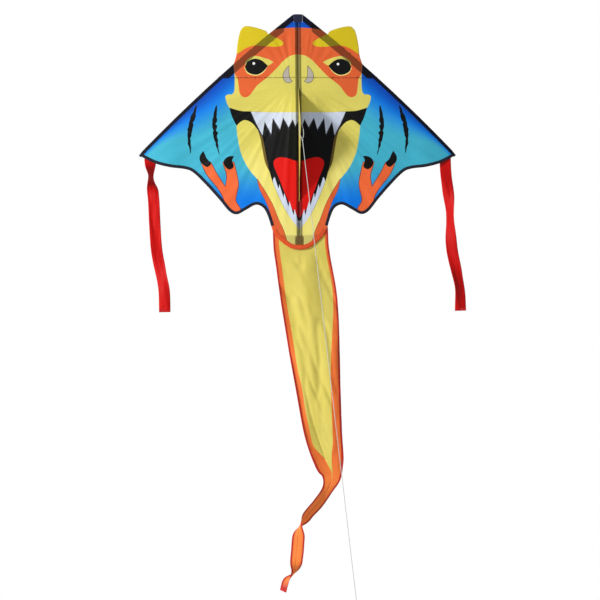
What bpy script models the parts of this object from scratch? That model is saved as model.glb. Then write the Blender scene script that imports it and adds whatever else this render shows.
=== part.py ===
"""Single-line delta kite with a dragon-face sail, hanging tail and wing streamers.

Metres, +Z up, +X to the kite's left-hand wing as seen from the front, front towards -Y.
The origin is the centre of the tow grommet, where the flying line ties on.
"""
import math

import bmesh
import bpy
from mathutils import Vector

# ---------------------------------------------------------------- driving dimensions
SAIL_Y = 0.112            # sail plane behind the tow grommet: the keel's working depth
NOSE_X, NOSE_Z = 0.016, 0.408     # half width and height of the blunt nose
EDGE_SLOPE, EDGE_BOW = 0.785, 0.206   # leading edge: fall per metre, and its gentle bend
TIP_X = 0.550             # where the sail cloth stops at each wing tip
HALF_SPAN = 0.582
TIP_SWEEP = 0.055         # how far the bent wings lie back at the tips
CLOTH = 0.0008            # thickness given to one layer of cloth
GAP = 0.0003              # clearance between touching pieces
SEAM_X = 0.003            # each sail half starts this far from the centre line

PATCH_HALF = 0.016        # nose patch, half width
PATCH_BOTTOM = 0.3803
SPINE_LOW, SPINE_HIGH = -0.384, 0.377
SPINE_R = 0.0025
SPINE_BACK = 0.0048       # spine axis behind the sail
SPINE_SLEEVE_HALF = 0.0105
END_PATCH_HALF = 0.014    # square patch at the foot of the spine
END_PATCH_TOP = -0.3903
END_PATCH_LOW = -0.4180

ROD_R = 0.0022            # leading edge rods
ROD_IN = 0.0062           # rod axis inward from the sail's edge
SLEEVE_BACK = 0.0046      # sleeve and rod axis behind the sail
SLEEVE_THICK = 0.0037     # half thickness of the sleeves
SLEEVE_WALL = 0.0007
SPINE_SLEEVE_THICK = 0.0039   # half thickness of the sleeve round the thicker spine rod
SPINE_SLEEVE_FOOT, SPINE_SLEEVE_HEAD = 0.006, 0.016   # rod left bare at each end
CAP_LENGTH, CAP_WALL = 0.0120, 0.0012     # vinyl cap on the spine's top end
EDGE_CAP_REACH, EDGE_CAP_PAST, EDGE_CAP_WALL = 0.007, 0.002, 0.0007
POCKET_RUN = (0.5535, 0.5725)     # webbing pocket over each leading edge rod's end
POCKET_INWARD, POCKET_HALF, POCKET_THICK, POCKET_WALL = 0.0090, 0.0095, 0.00375, 0.0005
POCKET_END = 0.0020               # closed end of the pocket
UPPER_HALF, LOWER_HALF = 0.0130, 0.0080   # half widths of the two sleeves
UPPER_RUN = (0.050, 0.252)    # upper sleeve, from and to, by distance from the centre line
LOWER_RUN = (0.322, 0.546)
ROD_RUN = (0.062, 0.5665)

SPREADER_Z = 0.179
SPREADER_R = 0.0025
SPREADER_BACK = 0.0190    # spreader axis behind the sail plane
SPREADER_END = 0.2700     # the fork's blind end, beyond the rod's own end
CLIP_IN, CLIP_OUT = 0.2565, 0.284
CLIP_RING_X = 0.2925      # the clip's ring on the leading edge rod
CLIP_RING_R, CLIP_RING_HALF = 0.0038, 0.0055
CLIP_FRONT, CLIP_BEHIND, CLIP_HALF_HIGH = 0.0050, 0.0042, 0.0065
CLIP_FORK_PLAY = 0.0006   # room round the spreader in the fork, beyond the gap
STOP_LENGTH, STOP_CLEAR, STOP_WALL = 0.0110, 0.0050, 0.0013   # rubber stops on the spreader

KEEL_TOP, KEEL_LOW = 0.140, -0.265
KEEL_DEPTH = 0.1250       # from the sail to the keel's point
KEEL_GAP = 0.0014         # keel's sewn edge in front of the sail plane
KEEL_POINT = 0.003        # half height of the keel's blunt point
KEEL_TAPE = 0.0045
EYELET_BORE, EYELET_NECK, EYELET_FLANGE = 0.0028, 0.0041, 0.0066   # radii
EYELET_HALF, EYELET_GRIP = 0.0013, 0.0007     # half thickness of flanges and of the cloth
EYE_HOLE = 0.0044         # radius of the hole in the keel cloth

BINDING_WIDTH, HEM_WIDTH = 0.010, 0.0155

STREAMER_X, STREAMER_Z = 0.531, -0.102
STREAMER_BACK = 0.0056    # clear of the slanting wing tip
STREAMER_WIDTH = 0.041
TAIL_Z = -0.385           # the tail's sewn top edge
TAIL_BACK = 0.0045
TAIL_PIVOT_UP = 0.006     # the seam line it turns on is just above its top edge
TAIL_TAPE = 0.008         # width of the tail's edge bindings
TAPE_LIFT = 0.0022        # tapes and hems lie this far in front of the hanging cloth

LINE_R = 0.0012           # flying line
LINE_LEAN = math.radians(6.2)
LINE_LENGTH = 1.700
LOOP_HALF = 0.0070        # half width of the tow loop
LOOP_DROP = 0.052
END_LOOP_DROP, END_LOOP_HALF = 0.036, 0.009
KNOT_R, KNOT_STRETCH = 0.0030, 1.3


def edge_z(x):
    """Height of the straight-cut leading edge at distance x from the centre line."""
    d = x - NOSE_X
    return NOSE_Z - EDGE_SLOPE * d - EDGE_BOW * d * d


def edge_tangent(x):
    t = Vector((1.0, -EDGE_SLOPE - 2 * EDGE_BOW * (x - NOSE_X)))
    return t.normalized()


def sweep_back(x):
    """How far the bent wing lies behind the sail plane at distance x."""
    return TIP_SWEEP * (x / HALF_SPAN) ** 2


def smooth(points, steps):
    """Points of a Catmull-Rom curve through the given points, steps to a span."""
    vectors = [Vector(p) for p in points]
    ends = [2 * vectors[0] - vectors[1]] + vectors + [2 * vectors[-1] - vectors[-2]]
    out = []
    for i in range(1, len(ends) - 2):
        p0, p1, p2, p3 = ends[i - 1:i + 3]
        for k in range(steps):
            t = k / steps
            out.append(0.5 * (2 * p1 + (p2 - p0) * t + (2 * p0 - 5 * p1 + 4 * p2 - p3) * t ** 2
                              + (3 * p1 - 3 * p2 + p3 - p0) * t ** 3))
    out.append(vectors[-1])
    return out


# Outlines in (distance from the centre line, height), each with only its turning points.
HORN = [(0.107, 0.336), (0.116, 0.348), (0.150, 0.360), (0.184, 0.366), (0.200, 0.358),
        (0.209, 0.340), (0.217, 0.301), (0.221, 0.262), (0.230, 0.2315)]
TRAILING = smooth([(0.0985, -0.360), (0.112, -0.316), (0.128, -0.286), (0.155, -0.275),
                   (0.190, -0.293), (0.222, -0.309), (0.250, -0.297), (0.285, -0.254),
                   (0.330, -0.203), (0.375, -0.158), (0.405, -0.144), (0.460, -0.137),
                   (0.510, -0.124), (0.550, -0.1045)], 3)
JAW = smooth([(0.0035, -0.4365), (0.030, -0.432), (0.058, -0.414), (0.085, -0.388),
              (0.0985, -0.362)], 3)
# The tail's centre line and half width, in (x, y behind its seam, height, half width).
TAIL_LINE = [(0.003, 0.000, TAIL_Z, 0.098), (0.006, 0.002, -0.430, 0.098),
             (0.013, 0.004, -0.480, 0.098), (0.034, 0.009, -0.621, 0.100),
             (0.050, 0.000, -0.791, 0.090), (0.062, -0.009, -0.930, 0.079),
             (0.078, -0.010, -1.088, 0.067), (0.099, -0.004, -1.195, 0.052),
             (0.108, 0.004, -1.245, 0.034), (0.094, 0.010, -1.290, 0.024),
             (0.060, 0.012, -1.340, 0.024), (0.020, 0.006, -1.385, 0.022),
             (-0.008, -0.004, -1.436, 0.022), (-0.018, -0.008, -1.520, 0.022),
             (-0.027, -0.002, -1.575, 0.021), (-0.056, 0.003, -1.612, 0.021),
             (-0.068, 0.005, -1.650, 0.021)]
STREAMER_LINE = [(0.000, 0.000, 0.000), (0.004, 0.004, -0.060), (0.012, -0.003, -0.150),
                 (0.020, 0.002, -0.250), (0.030, 0.006, -0.350), (0.038, -0.004, -0.450),
                 (0.045, 0.001, -0.556)]


def level(points, x):
    """Height of a left-to-right outline at x."""
    for (x0, z0), (x1, z1) in zip(points, points[1:]):
        if x <= x1:
            return z0 + (z1 - z0) * max(0.0, x - x0) / (x1 - x0)
    return points[-1][1]


# ---------------------------------------------------------------- scene and materials
for old in list(bpy.data.objects):
    bpy.data.objects.remove(old)


def material(name, colour, roughness, metallic=0.0):
    m = bpy.data.materials.new(name)
    m.use_nodes = True
    shader = m.node_tree.nodes["Principled BSDF"]
    shader.inputs["Base Color"].default_value = (*colour, 1.0)
    shader.inputs["Roughness"].default_value = roughness
    shader.inputs["Metallic"].default_value = metallic
    m.diffuse_color = (*colour, 1.0)
    return m


YELLOW = material("yellow_ripstop", (0.72, 0.66, 0.14), 0.55)
ORANGE = material("orange_ripstop", (0.80, 0.16, 0.04), 0.55)
BLUE = material("blue_ripstop", (0.01, 0.16, 0.62), 0.55)
NAVY = material("navy_tape", (0.01, 0.02, 0.08), 0.70)
RED = material("red_ribbon", (0.62, 0.01, 0.01), 0.50)
BROWN = material("brown_patch", (0.10, 0.05, 0.02), 0.75)
CARBON = material("fibreglass_rod", (0.03, 0.03, 0.03), 0.35)
VINYL = material("vinyl_cap", (0.02, 0.02, 0.02), 0.45)
BRASS = material("blackened_brass", (0.05, 0.05, 0.05), 0.35, 1.0)
LINE = material("white_line", (0.85, 0.85, 0.82), 0.80)


def finish(obj, surface, pivot):
    """Name-keyed object with its origin moved to the pivot, its geometry staying in place."""
    pivot = Vector(pivot)
    if obj.type == "MESH":
        for v in obj.data.vertices:
            v.co -= pivot
        obj.data.shade_smooth()
        obj.data.set_sharp_from_angle(angle=math.radians(40))
    else:
        for spline in obj.data.splines:
            for p in spline.points:
                p.co = (*(Vector(p.co[:3]) - pivot), 1.0)
    obj.location = pivot
    obj.data.materials.append(surface)
    return obj


def mesh_object(name, bm, surface, pivot):
    bmesh.ops.recalc_face_normals(bm, faces=bm.faces[:])
    mesh = bpy.data.meshes.new(name)
    bm.to_mesh(mesh)
    bm.free()
    obj = bpy.data.objects.new(name, mesh)
    bpy.context.scene.collection.objects.link(obj)
    return finish(obj, surface, pivot)


def loft(name, loops, surface, pivot, inner=None, blind=False):
    """Closed solid through rings of points. With inner rings it is a pipe, or a cup if blind."""
    bm = bmesh.new()

    def skin(rings):
        rows = [[bm.verts.new(p) for p in ring] for ring in rings]
        count = len(rows[0])
        for a, b in zip(rows, rows[1:]):
            for i in range(count):
                j = (i + 1) % count
                bm.faces.new((a[i], a[j], b[j], b[i]))
        return rows

    outer_rows = skin(loops)
    if inner is None:
        bm.faces.new(outer_rows[0])
        bm.faces.new(outer_rows[-1])
    else:
        inner_rows = skin(inner)
        ends = [(outer_rows[0], inner_rows[0])]
        if blind:
            bm.faces.new(outer_rows[-1])
            bm.faces.new(inner_rows[-1])
        else:
            ends.append((outer_rows[-1], inner_rows[-1]))
        for a, b in ends:
            for i in range(len(a)):
                j = (i + 1) % len(a)
                bm.faces.new((a[i], a[j], b[j], b[i]))
    return mesh_object(name, bm, surface, pivot)


def stadium(half_width, half_thick):
    """Flat oval section as (across, thick) pairs, twelve points round."""
    flat = half_width - half_thick
    ring = []
    for side, start in ((1, -90), (-1, 90)):
        for k in range(6):
            a = math.radians(start + 36 * k)
            ring.append((side * flat + half_thick * math.cos(a), half_thick * math.sin(a)))
    return ring


def circle(radius, count=10):
    return [(radius * math.cos(math.tau * k / count), radius * math.sin(math.tau * k / count))
            for k in range(count)]


def spread(low, high, count):
    return [low + (high - low) * k / (count - 1) for k in range(count)]


# ---------------------------------------------------------------- wings
def wing_point(side, x, z, back):
    """World point of a place on a wing, so far behind its bent cloth."""
    return Vector((side * x, SAIL_Y + sweep_back(x) + back, z))


def edge_rings(side, run, inward, section, count):
    """Rings of a section carried along the leading edge, inward of it and behind the cloth."""
    rings = []
    for x in spread(*run, count):
        t = edge_tangent(x)
        into = Vector((t.y, -t.x))        # in the wing's plane, away from the edge
        ring = []
        for across, thick in section:
            p = Vector((x, edge_z(x))) + into * (inward + across)
            ring.append(wing_point(side, p.x, p.y, SLEEVE_BACK + thick))
        rings.append(ring)
    return rings


def strip(name, side, points, width, inward, front, thick, surface, pivot):
    """Flat tape laid along an outline of a wing, its two faces so far in front of the cloth."""
    rings = []
    for i, p in enumerate(points):
        before, after = points[max(i - 1, 0)], points[min(i + 1, len(points) - 1)]
        t = (Vector(after) - Vector(before)).normalized()
        into = Vector((-t.y, t.x)) * inward
        a, b = Vector(p), Vector(p) + into * width
        rings.append([wing_point(side, a.x, a.y, -front), wing_point(side, b.x, b.y, -front),
                      wing_point(side, b.x, b.y, -front - thick),
                      wing_point(side, a.x, a.y, -front - thick)])
    return loft(name, rings, surface, pivot)


def sail_top(x):
    if x <= PATCH_HALF + 0.0005:
        return PATCH_BOTTOM - 2 * GAP
    if HORN[0][0] <= x <= HORN[-1][0]:
        return max(edge_z(x), level(HORN, x))
    return edge_z(x)


def sail_bottom(x):
    if x <= END_PATCH_HALF + 0.0005:
        return END_PATCH_TOP + 2 * GAP
    if x <= JAW[-1].x:
        return level(JAW, x)
    return level(TRAILING, x)


def sail_half(name, side, pivot):
    columns = [SEAM_X, 0.0145, 0.0148, 0.0164, 0.0168, 0.030, 0.045, 0.058, 0.072, 0.085,
               0.0985, 0.107, 0.116, 0.128, 0.150, 0.170, 0.184, 0.200, 0.209, 0.217, 0.221,
               0.230, 0.250, 0.285, 0.330, 0.375, 0.405, 0.440, 0.475, 0.510, TIP_X]
    rows = 5
    bm = bmesh.new()
    faces = []
    for half in (-CLOTH / 2, CLOTH / 2):
        grid = []
        for x in columns:
            top, low = sail_top(x), sail_bottom(x)
            grid.append([bm.verts.new(wing_point(side, x, low + (top - low) * k / rows, half))
                         for k in range(rows + 1)])
        for a, b in zip(grid, grid[1:]):
            for k in range(rows):
                bm.faces.new((a[k], a[k + 1], b[k + 1], b[k]))
        faces.append(grid)

    def rim(grid):
        return ([col[0] for col in grid] + grid[-1][1:-1] + [col[-1] for col in reversed(grid)]
                + grid[0][-2:0:-1])

    front, back = rim(faces[0]), rim(faces[1])
    for i in range(len(front)):
        j = (i + 1) % len(front)
        bm.faces.new((front[i], front[j], back[j], back[i]))
    return mesh_object(name, bm, BLUE, pivot)


def box_verts(bm, low, high):
    x, y, z = zip(low, high)
    corners = [bm.verts.new((x[i], y[j], z[k])) for i in (0, 1) for j in (0, 1) for k in (0, 1)]
    for quad in ((0, 1, 3, 2), (4, 6, 7, 5), (0, 4, 5, 1), (2, 3, 7, 6), (0, 2, 6, 4),
                 (1, 5, 7, 3)):
        bm.faces.new([corners[i] for i in quad])


def box(name, low, high, surface, pivot, bevel=0.0):
    bm = bmesh.new()
    box_verts(bm, low, high)
    obj = mesh_object(name, bm, surface, pivot)
    if bevel:
        edge = obj.modifiers.new("soft_edge", "BEVEL")
        edge.width = bevel
        edge.segments = 2
    return obj


def guide(obj):
    """Marks a cutting or joining body, which isn't part of the kite."""
    obj.hide_render = True
    obj.display_type = "WIRE"
    return obj


def boolean(obj, other, operation):
    cut = obj.modifiers.new(operation.lower(), "BOOLEAN")
    cut.operation = operation
    cut.object = guide(other)


def spreader_clip(name, side, pivot):
    """Moulded fitting: a ring round the leading edge rod and a fork open to the back."""
    y = SAIL_Y + SPREADER_BACK
    lows = sorted((side * CLIP_IN, side * CLIP_OUT))
    clip = box(name, (lows[0], y - CLIP_FRONT, SPREADER_Z - CLIP_HALF_HIGH),
               (lows[1], y + CLIP_BEHIND, SPREADER_Z + CLIP_HALF_HIGH), VINYL, pivot)
    ring = edge_rings(side, (CLIP_RING_X - CLIP_RING_HALF, CLIP_RING_X + CLIP_RING_HALF),
                      ROD_IN, circle(CLIP_RING_R, 16), 2)
    long_bore = edge_rings(side, (CLIP_RING_X - 0.030, CLIP_RING_X + 0.012), ROD_IN,
                           circle(ROD_R + GAP, 16), 4)
    boolean(clip, loft(name + "_ring_body", ring, VINYL, pivot), "UNION")
    slot_end = side * (SPREADER_END + 2 * GAP)
    slot_start = side * (CLIP_IN - 0.004)
    lows = sorted((slot_start, slot_end))
    room = SPREADER_R + CLIP_FORK_PLAY + GAP
    slot = box(name + "_fork_cut", (lows[0], y - room, SPREADER_Z - room),
               (lows[1], y + 0.010, SPREADER_Z + room), VINYL, pivot)
    boolean(clip, slot, "DIFFERENCE")
    boolean(clip, loft(name + "_rod_cut", long_bore, VINYL, pivot), "DIFFERENCE")
    return clip


def wing(word, side):
    pivot = (side * SEAM_X, SAIL_Y, 0.0)
    sail_half(f"{word}_sail", side, pivot)
    wall = SLEEVE_WALL
    for part, run, half, count in (("upper", UPPER_RUN, UPPER_HALF, 7),
                                   ("lower", LOWER_RUN, LOWER_HALF, 7)):
        inward = half + 0.0005
        loft(f"{word}_leading_sleeve_{part}",
             edge_rings(side, run, inward, stadium(half, SLEEVE_THICK), count), NAVY, pivot,
             inner=edge_rings(side, run, inward, stadium(half - wall, SLEEVE_THICK - wall),
                              count))
    loft(f"{word}_leading_edge_rod", edge_rings(side, ROD_RUN, ROD_IN, circle(ROD_R), 15),
         CARBON, pivot)
    cap_start, cap_end = ROD_RUN[1] - EDGE_CAP_REACH, ROD_RUN[1] + EDGE_CAP_PAST
    loft(f"{word}_rod_end_cap",
         edge_rings(side, (cap_start, cap_end), ROD_IN, circle(ROD_R + EDGE_CAP_WALL), 3), VINYL,
         pivot,
         inner=edge_rings(side, (cap_start, ROD_RUN[1] + GAP), ROD_IN,
                          circle(ROD_R + GAP), 3), blind=True)
    loft(f"{word}_wingtip_pocket",
         edge_rings(side, POCKET_RUN, POCKET_INWARD, stadium(POCKET_HALF, POCKET_THICK), 3),
         NAVY, pivot,
         inner=edge_rings(side, (POCKET_RUN[0], POCKET_RUN[1] - POCKET_END), POCKET_INWARD,
                          stadium(POCKET_HALF - POCKET_WALL, POCKET_THICK - POCKET_WALL), 3),
         blind=True)
    front = CLOTH / 2 + GAP
    strip(f"{word}_trailing_binding", side, TRAILING[1:-1], BINDING_WIDTH, 1, front, CLOTH,
          NAVY, pivot)
    strip(f"{word}_jaw_hem", side, JAW[:-1], HEM_WIDTH, 1, front, CLOTH, ORANGE, pivot)
    spreader_clip(f"{word}_spreader_clip", side, pivot)
    streamer(word, side)


def frames(points):
    """For each point of a hanging line: the point, the way across, and the way to the back."""
    out = []
    for i, p in enumerate(points):
        before, after = points[max(i - 1, 0)], points[min(i + 1, len(points) - 1)]
        run = (after - before).normalized()
        across = run.cross(Vector((0, 1, 0))).normalized()
        out.append((p, across, across.cross(run).normalized()))
    return out


def between(first, second, t):
    return tuple(a.lerp(b, t) for a, b in zip(first, second))


def band(places, spans, lift=0.0):
    """Rings of a flat band of cloth, each span being its two sides' distances across."""
    half = CLOTH / 2
    rings = []
    for (p, across, back), (low, high) in zip(places, spans):
        rings.append([p + across * side + back * (lift + depth) for side, depth in
                      ((low, -half), (high, -half), (high, half), (low, half))])
    return rings


def streamer(word, side):
    top = wing_point(side, STREAMER_X, STREAMER_Z, STREAMER_BACK)
    places = frames([top + p for p in smooth(STREAMER_LINE, 2)])
    span = (-STREAMER_WIDTH / 2, STREAMER_WIDTH / 2)
    loft(f"{word}_streamer", band(places, [span] * len(places)), RED, top)
    hem = [between(places[-2], places[-1], t) for t in (0.72, 0.99)]
    loft(f"{word}_streamer_hem", band(hem, [span] * 2, -TAPE_LIFT), RED, top)


# ---------------------------------------------------------------- spine, nose and foot
def upright_rings(heights, section, back):
    return [[(across, SAIL_Y + back + thick, z) for across, thick in section] for z in heights]


def centre():
    pivot = (0.0, SAIL_Y + SPINE_BACK, 0.0)
    loft("spine_rod", upright_rings((SPINE_LOW, SPINE_HIGH), circle(SPINE_R, 12), SPINE_BACK),
         CARBON, pivot)
    sleeve_run = (SPINE_LOW + SPINE_SLEEVE_FOOT, SPINE_HIGH - SPINE_SLEEVE_HEAD)
    loft("spine_sleeve",
         upright_rings(sleeve_run, stadium(SPINE_SLEEVE_HALF, SPINE_SLEEVE_THICK), SPINE_BACK),
         NAVY, pivot,
         inner=upright_rings(sleeve_run, stadium(SPINE_SLEEVE_HALF - SLEEVE_WALL,
                                                 SPINE_SLEEVE_THICK - SLEEVE_WALL),
                             SPINE_BACK))
    loft("spine_top_cap",
         upright_rings((SPINE_HIGH - CAP_LENGTH, SPINE_HIGH + 2 * CAP_WALL),
                       circle(SPINE_R + CAP_WALL, 12), SPINE_BACK), VINYL, pivot,
         inner=upright_rings((SPINE_HIGH - CAP_LENGTH, SPINE_HIGH + GAP),
                             circle(SPINE_R + GAP, 12), SPINE_BACK), blind=True)
    box("nose_patch", (-PATCH_HALF, SAIL_Y - 0.0014, PATCH_BOTTOM),
        (PATCH_HALF, SAIL_Y + 0.0096, NOSE_Z), NAVY, pivot, bevel=0.0008)
    box("spine_end_patch", (-END_PATCH_HALF, SAIL_Y - 0.0014, END_PATCH_LOW),
        (END_PATCH_HALF, SAIL_Y + 0.0020, END_PATCH_TOP), BROWN, pivot, bevel=0.0006)


def spreader():
    y = SAIL_Y + SPREADER_BACK
    pivot = (0.0, y, SPREADER_Z)

    def rings(ends, radius):
        return [[(x, y + a, SPREADER_Z + b) for a, b in circle(radius, 12)] for x in ends]

    reach = SPREADER_END - 0.0015
    loft("spreader_rod", rings((-reach, reach), SPREADER_R), CARBON, pivot)
    for word, side in (("left", -1), ("right", 1)):
        floor = side * (CLIP_IN - STOP_CLEAR)
        start = floor - side * STOP_LENGTH
        loft(f"spreader_stop_{word}", rings((start, floor), SPREADER_R + STOP_WALL), VINYL, pivot,
             inner=rings((start, floor), SPREADER_R + GAP))


# ---------------------------------------------------------------- keel and tow fittings
def keel():
    seam_y = SAIL_Y - KEEL_GAP
    point_y = SAIL_Y - KEEL_DEPTH
    pivot = (0.0, seam_y, 0.0)
    corners = [(seam_y, KEEL_TOP), (point_y, KEEL_POINT), (point_y, -KEEL_POINT),
               (seam_y, KEEL_LOW)]
    panel = loft("keel_panel", [[(x, y, z) for y, z in corners] for x in
                                (-CLOTH / 2, CLOTH / 2)], YELLOW, pivot)
    eye = [[(x, a, b) for a, b in circle(EYE_HOLE, 16)] for x in (-0.002, 0.002)]
    boolean(panel, loft("keel_eye_cut", eye, YELLOW, pivot), "DIFFERENCE")
    # tape on the keel's side face along its two free edges
    low_x, high_x = -CLOTH / 2 - GAP - CLOTH, -CLOTH / 2 - GAP
    outer = [Vector(c) for c in corners]
    middle = Vector((seam_y, 0.0))
    rings = []
    for y, z in outer:
        shift = middle - Vector((y, z))
        inside = Vector((y, z)) + shift.normalized() * KEEL_TAPE
        rings.append([(low_x, y, z), (low_x, inside.x, inside.y), (high_x, inside.x, inside.y),
                      (high_x, y, z)])
    loft("keel_edge_tape", rings, YELLOW, pivot)
    # eyelet: a flanged tube turned about the X axis
    half = [(EYELET_HALF, EYELET_BORE), (EYELET_HALF, EYELET_FLANGE),
            (EYELET_GRIP, EYELET_FLANGE), (EYELET_GRIP, EYELET_NECK)]
    profile = [(-x, r) for x, r in half] + list(reversed(half))
    rings = [[(x, r * math.cos(a), r * math.sin(a)) for x, r in profile]
             for a in (math.tau * k / 16 for k in range(16))]
    bm = bmesh.new()
    rows = [[bm.verts.new(p) for p in ring] for ring in rings]
    for i in range(16):
        a, b = rows[i], rows[(i + 1) % 16]
        for k in range(len(profile)):
            m = (k + 1) % len(profile)
            bm.faces.new((a[k], a[m], b[m], b[k]))
    mesh_object("tow_grommet", bm, BRASS, pivot)


def tube(name, points, radius, closed=False):
    curve = bpy.data.curves.new(name, "CURVE")
    curve.dimensions = "3D"
    curve.bevel_depth = radius
    curve.bevel_resolution = 2
    curve.use_fill_caps = not closed
    spline = curve.splines.new("POLY")
    spline.points.add(len(points) - 1)
    for p, place in zip(spline.points, points):
        p.co = (*place, 1.0)
    spline.use_cyclic_u = closed
    obj = bpy.data.objects.new(name, curve)
    bpy.context.scene.collection.objects.link(obj)
    return finish(obj, LINE, (0.0, 0.0, 0.0))


def knot(name, centre_point):
    bm = bmesh.new()
    bmesh.ops.create_icosphere(bm, subdivisions=2, radius=KNOT_R)
    for v in bm.verts:
        v.co = Vector((v.co.x, v.co.y, v.co.z * KNOT_STRETCH)) + Vector(centre_point)
    return mesh_object(name, bm, LINE, (0.0, 0.0, 0.0))


def slim_loop(top, drop, half, lean):
    """Points round a long loop that hangs from its top, in the XZ plane."""
    down = Vector((math.sin(lean), 0, -math.cos(lean)))
    out = Vector((math.cos(lean), 0, math.sin(lean)))
    return [top + down * drop * (0.5 - 0.5 * math.cos(a)) + out * half * math.sin(a)
            for a in (math.tau * k / 24 for k in range(24))]


def flying_line():
    down = Vector((math.sin(LINE_LEAN), 0, -math.cos(LINE_LEAN)))
    top = Vector((0.0, 0.0, 0.0))
    tube("tow_loop", slim_loop(top, LOOP_DROP, LOOP_HALF, LINE_LEAN), LINE_R, closed=True)
    half_knot = KNOT_STRETCH * KNOT_R
    knot_at = top + down * (LOOP_DROP + LINE_R + half_knot + GAP)
    knot("tow_knot", knot_at)
    start = knot_at + down * (half_knot + GAP)
    end = start + down * LINE_LENGTH
    tube("flying_line", [start.lerp(end, k / 39) for k in range(40)], LINE_R)
    far_knot = end + down * (half_knot + GAP)
    knot("line_end_knot", far_knot)
    loop_top = far_knot + down * (half_knot + GAP + LINE_R)
    tube("line_end_loop", slim_loop(loop_top, END_LOOP_DROP, END_LOOP_HALF, LINE_LEAN), LINE_R,
         closed=True)


# ---------------------------------------------------------------- tail
def tail():
    seam = Vector((0.0, SAIL_Y + TAIL_BACK, 0.0))
    stations = smooth([Vector(p) for p in TAIL_LINE], 2)
    places = frames([seam + Vector(p[:3]) for p in stations])
    halves = [p[3] for p in stations]
    pivot = seam + Vector((0, 0, TAIL_Z + TAIL_PIVOT_UP))
    loft("tail_panel", band(places, [(-h, h) for h in halves]), YELLOW, pivot)
    for word, side in (("left", -1), ("right", 1)):
        spans = [(side * (h - TAIL_TAPE), side * h) for h in halves]
        loft(f"tail_binding_{word}", band(places[1:-1], spans[1:-1], -TAPE_LIFT), ORANGE, pivot)
    hem = [between(places[-2], places[-1], t) for t in (0.45, 0.98)]
    loft("tail_hem", band(hem, [(-halves[-1], halves[-1])] * 2, -TAPE_LIFT), RED, pivot)


for word, side in (("left", -1), ("right", 1)):
    wing(word, side)
centre()
spreader()
keel()
flying_line()
tail()
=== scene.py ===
import math

import bmesh
import bpy
from mathutils import Matrix, Vector, noise
from mathutils.geometry import delaunay_2d_cdt


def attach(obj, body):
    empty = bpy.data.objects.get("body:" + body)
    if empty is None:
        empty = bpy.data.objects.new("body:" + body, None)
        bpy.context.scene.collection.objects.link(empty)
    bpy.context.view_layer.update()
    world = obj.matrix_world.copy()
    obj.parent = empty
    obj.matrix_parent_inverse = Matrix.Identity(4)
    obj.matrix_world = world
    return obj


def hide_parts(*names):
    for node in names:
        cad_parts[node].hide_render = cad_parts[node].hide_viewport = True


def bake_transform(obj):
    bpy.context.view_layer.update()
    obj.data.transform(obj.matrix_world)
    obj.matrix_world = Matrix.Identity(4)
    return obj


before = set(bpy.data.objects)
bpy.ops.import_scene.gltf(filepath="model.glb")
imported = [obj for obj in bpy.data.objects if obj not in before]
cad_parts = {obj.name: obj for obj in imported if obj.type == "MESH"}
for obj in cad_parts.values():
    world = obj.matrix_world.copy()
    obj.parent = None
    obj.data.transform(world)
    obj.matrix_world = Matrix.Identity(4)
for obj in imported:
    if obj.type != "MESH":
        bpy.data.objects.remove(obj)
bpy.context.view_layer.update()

# The kite's looks. Metres, +Z up, the front towards -Y, origin at the tow eyelet.
# Sail shapes are given for one half as (distance from the centre line, height).

# ---------------------------------------------------------------- sizes, as in the frame
SAIL_Y = 0.112
NOSE_X, NOSE_Z = 0.016, 0.408
EDGE_SLOPE, EDGE_BOW = 0.785, 0.206
TIP_X, HALF_SPAN, TIP_SWEEP = 0.5640, 0.582, 0.055
SEAM_X = 0.0005
PATCH_HALF, PATCH_BOTTOM = 0.016, 0.3803
END_PATCH_HALF, END_PATCH_TOP, END_PATCH_LOW = 0.014, -0.3903, -0.4180
SPINE_BACK, SPINE_SLEEVE_HALF = 0.0048, 0.0105
SPINE_SLEEVE_RUN = (-0.378, 0.361)
SLEEVE_BACK, SLEEVE_HALF_THICK = 0.0046, 0.0037
UPPER_HALF, LOWER_HALF = 0.0130, 0.0080
UPPER_RUN, LOWER_RUN, POCKET_RUN = (0.050, 0.252), (0.322, 0.546), (0.5535, 0.5722)
SPREADER_Z = 0.179
KEEL_TOP, KEEL_LOW, KEEL_POINT_Y, KEEL_SEAM_Y = 0.140, -0.265, -0.013, 0.1106
BINDING_WIDTH, HEM_WIDTH = 0.010, 0.0155
STREAMER_X, STREAMER_Z, STREAMER_BACK = 0.531, -0.102, 0.0056
STREAMER_WIDTH, STREAMER_LENGTH = 0.041, 0.560
TAIL_Z, TAIL_BACK = -0.385, 0.0045
LINE_R, LINE_LENGTH = 0.0012, 1.700
LINE_LEAN = math.radians(6.2)
LOOP_HALF, LOOP_DROP, KNOT_R, GAP = 0.0070, 0.052, 0.0030, 0.0003
DOWN_LINE = Vector((math.sin(LINE_LEAN), 0.0, -math.cos(LINE_LEAN)))

CLOTH = 0.0005            # thickness shown for one layer of sail cloth
SLEEVE_CLOTH, WEBBING = 0.0006, 0.0008
GRID = 0.006              # spacing of the sail mesh
PRINT = "print"           # name of the colour attribute that holds the printed art


# ---------------------------------------------------------------- curves and outlines
def smooth(points, steps=6):
    """Points of a Catmull-Rom curve through the given points, steps to a span."""
    vectors = [Vector(p) for p in points]
    ends = [2 * vectors[0] - vectors[1]] + vectors + [2 * vectors[-1] - vectors[-2]]
    out = []
    for i in range(1, len(ends) - 2):
        p0, p1, p2, p3 = ends[i - 1:i + 3]
        for k in range(steps):
            t = k / steps
            out.append(0.5 * (2 * p1 + (p2 - p0) * t + (2 * p0 - 5 * p1 + 4 * p2 - p3) * t ** 2
                              + (3 * p1 - 3 * p2 + p3 - p0) * t ** 3))
    out.append(vectors[-1])
    return out


def straight(*points):
    return [Vector(p) for p in points]


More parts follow.
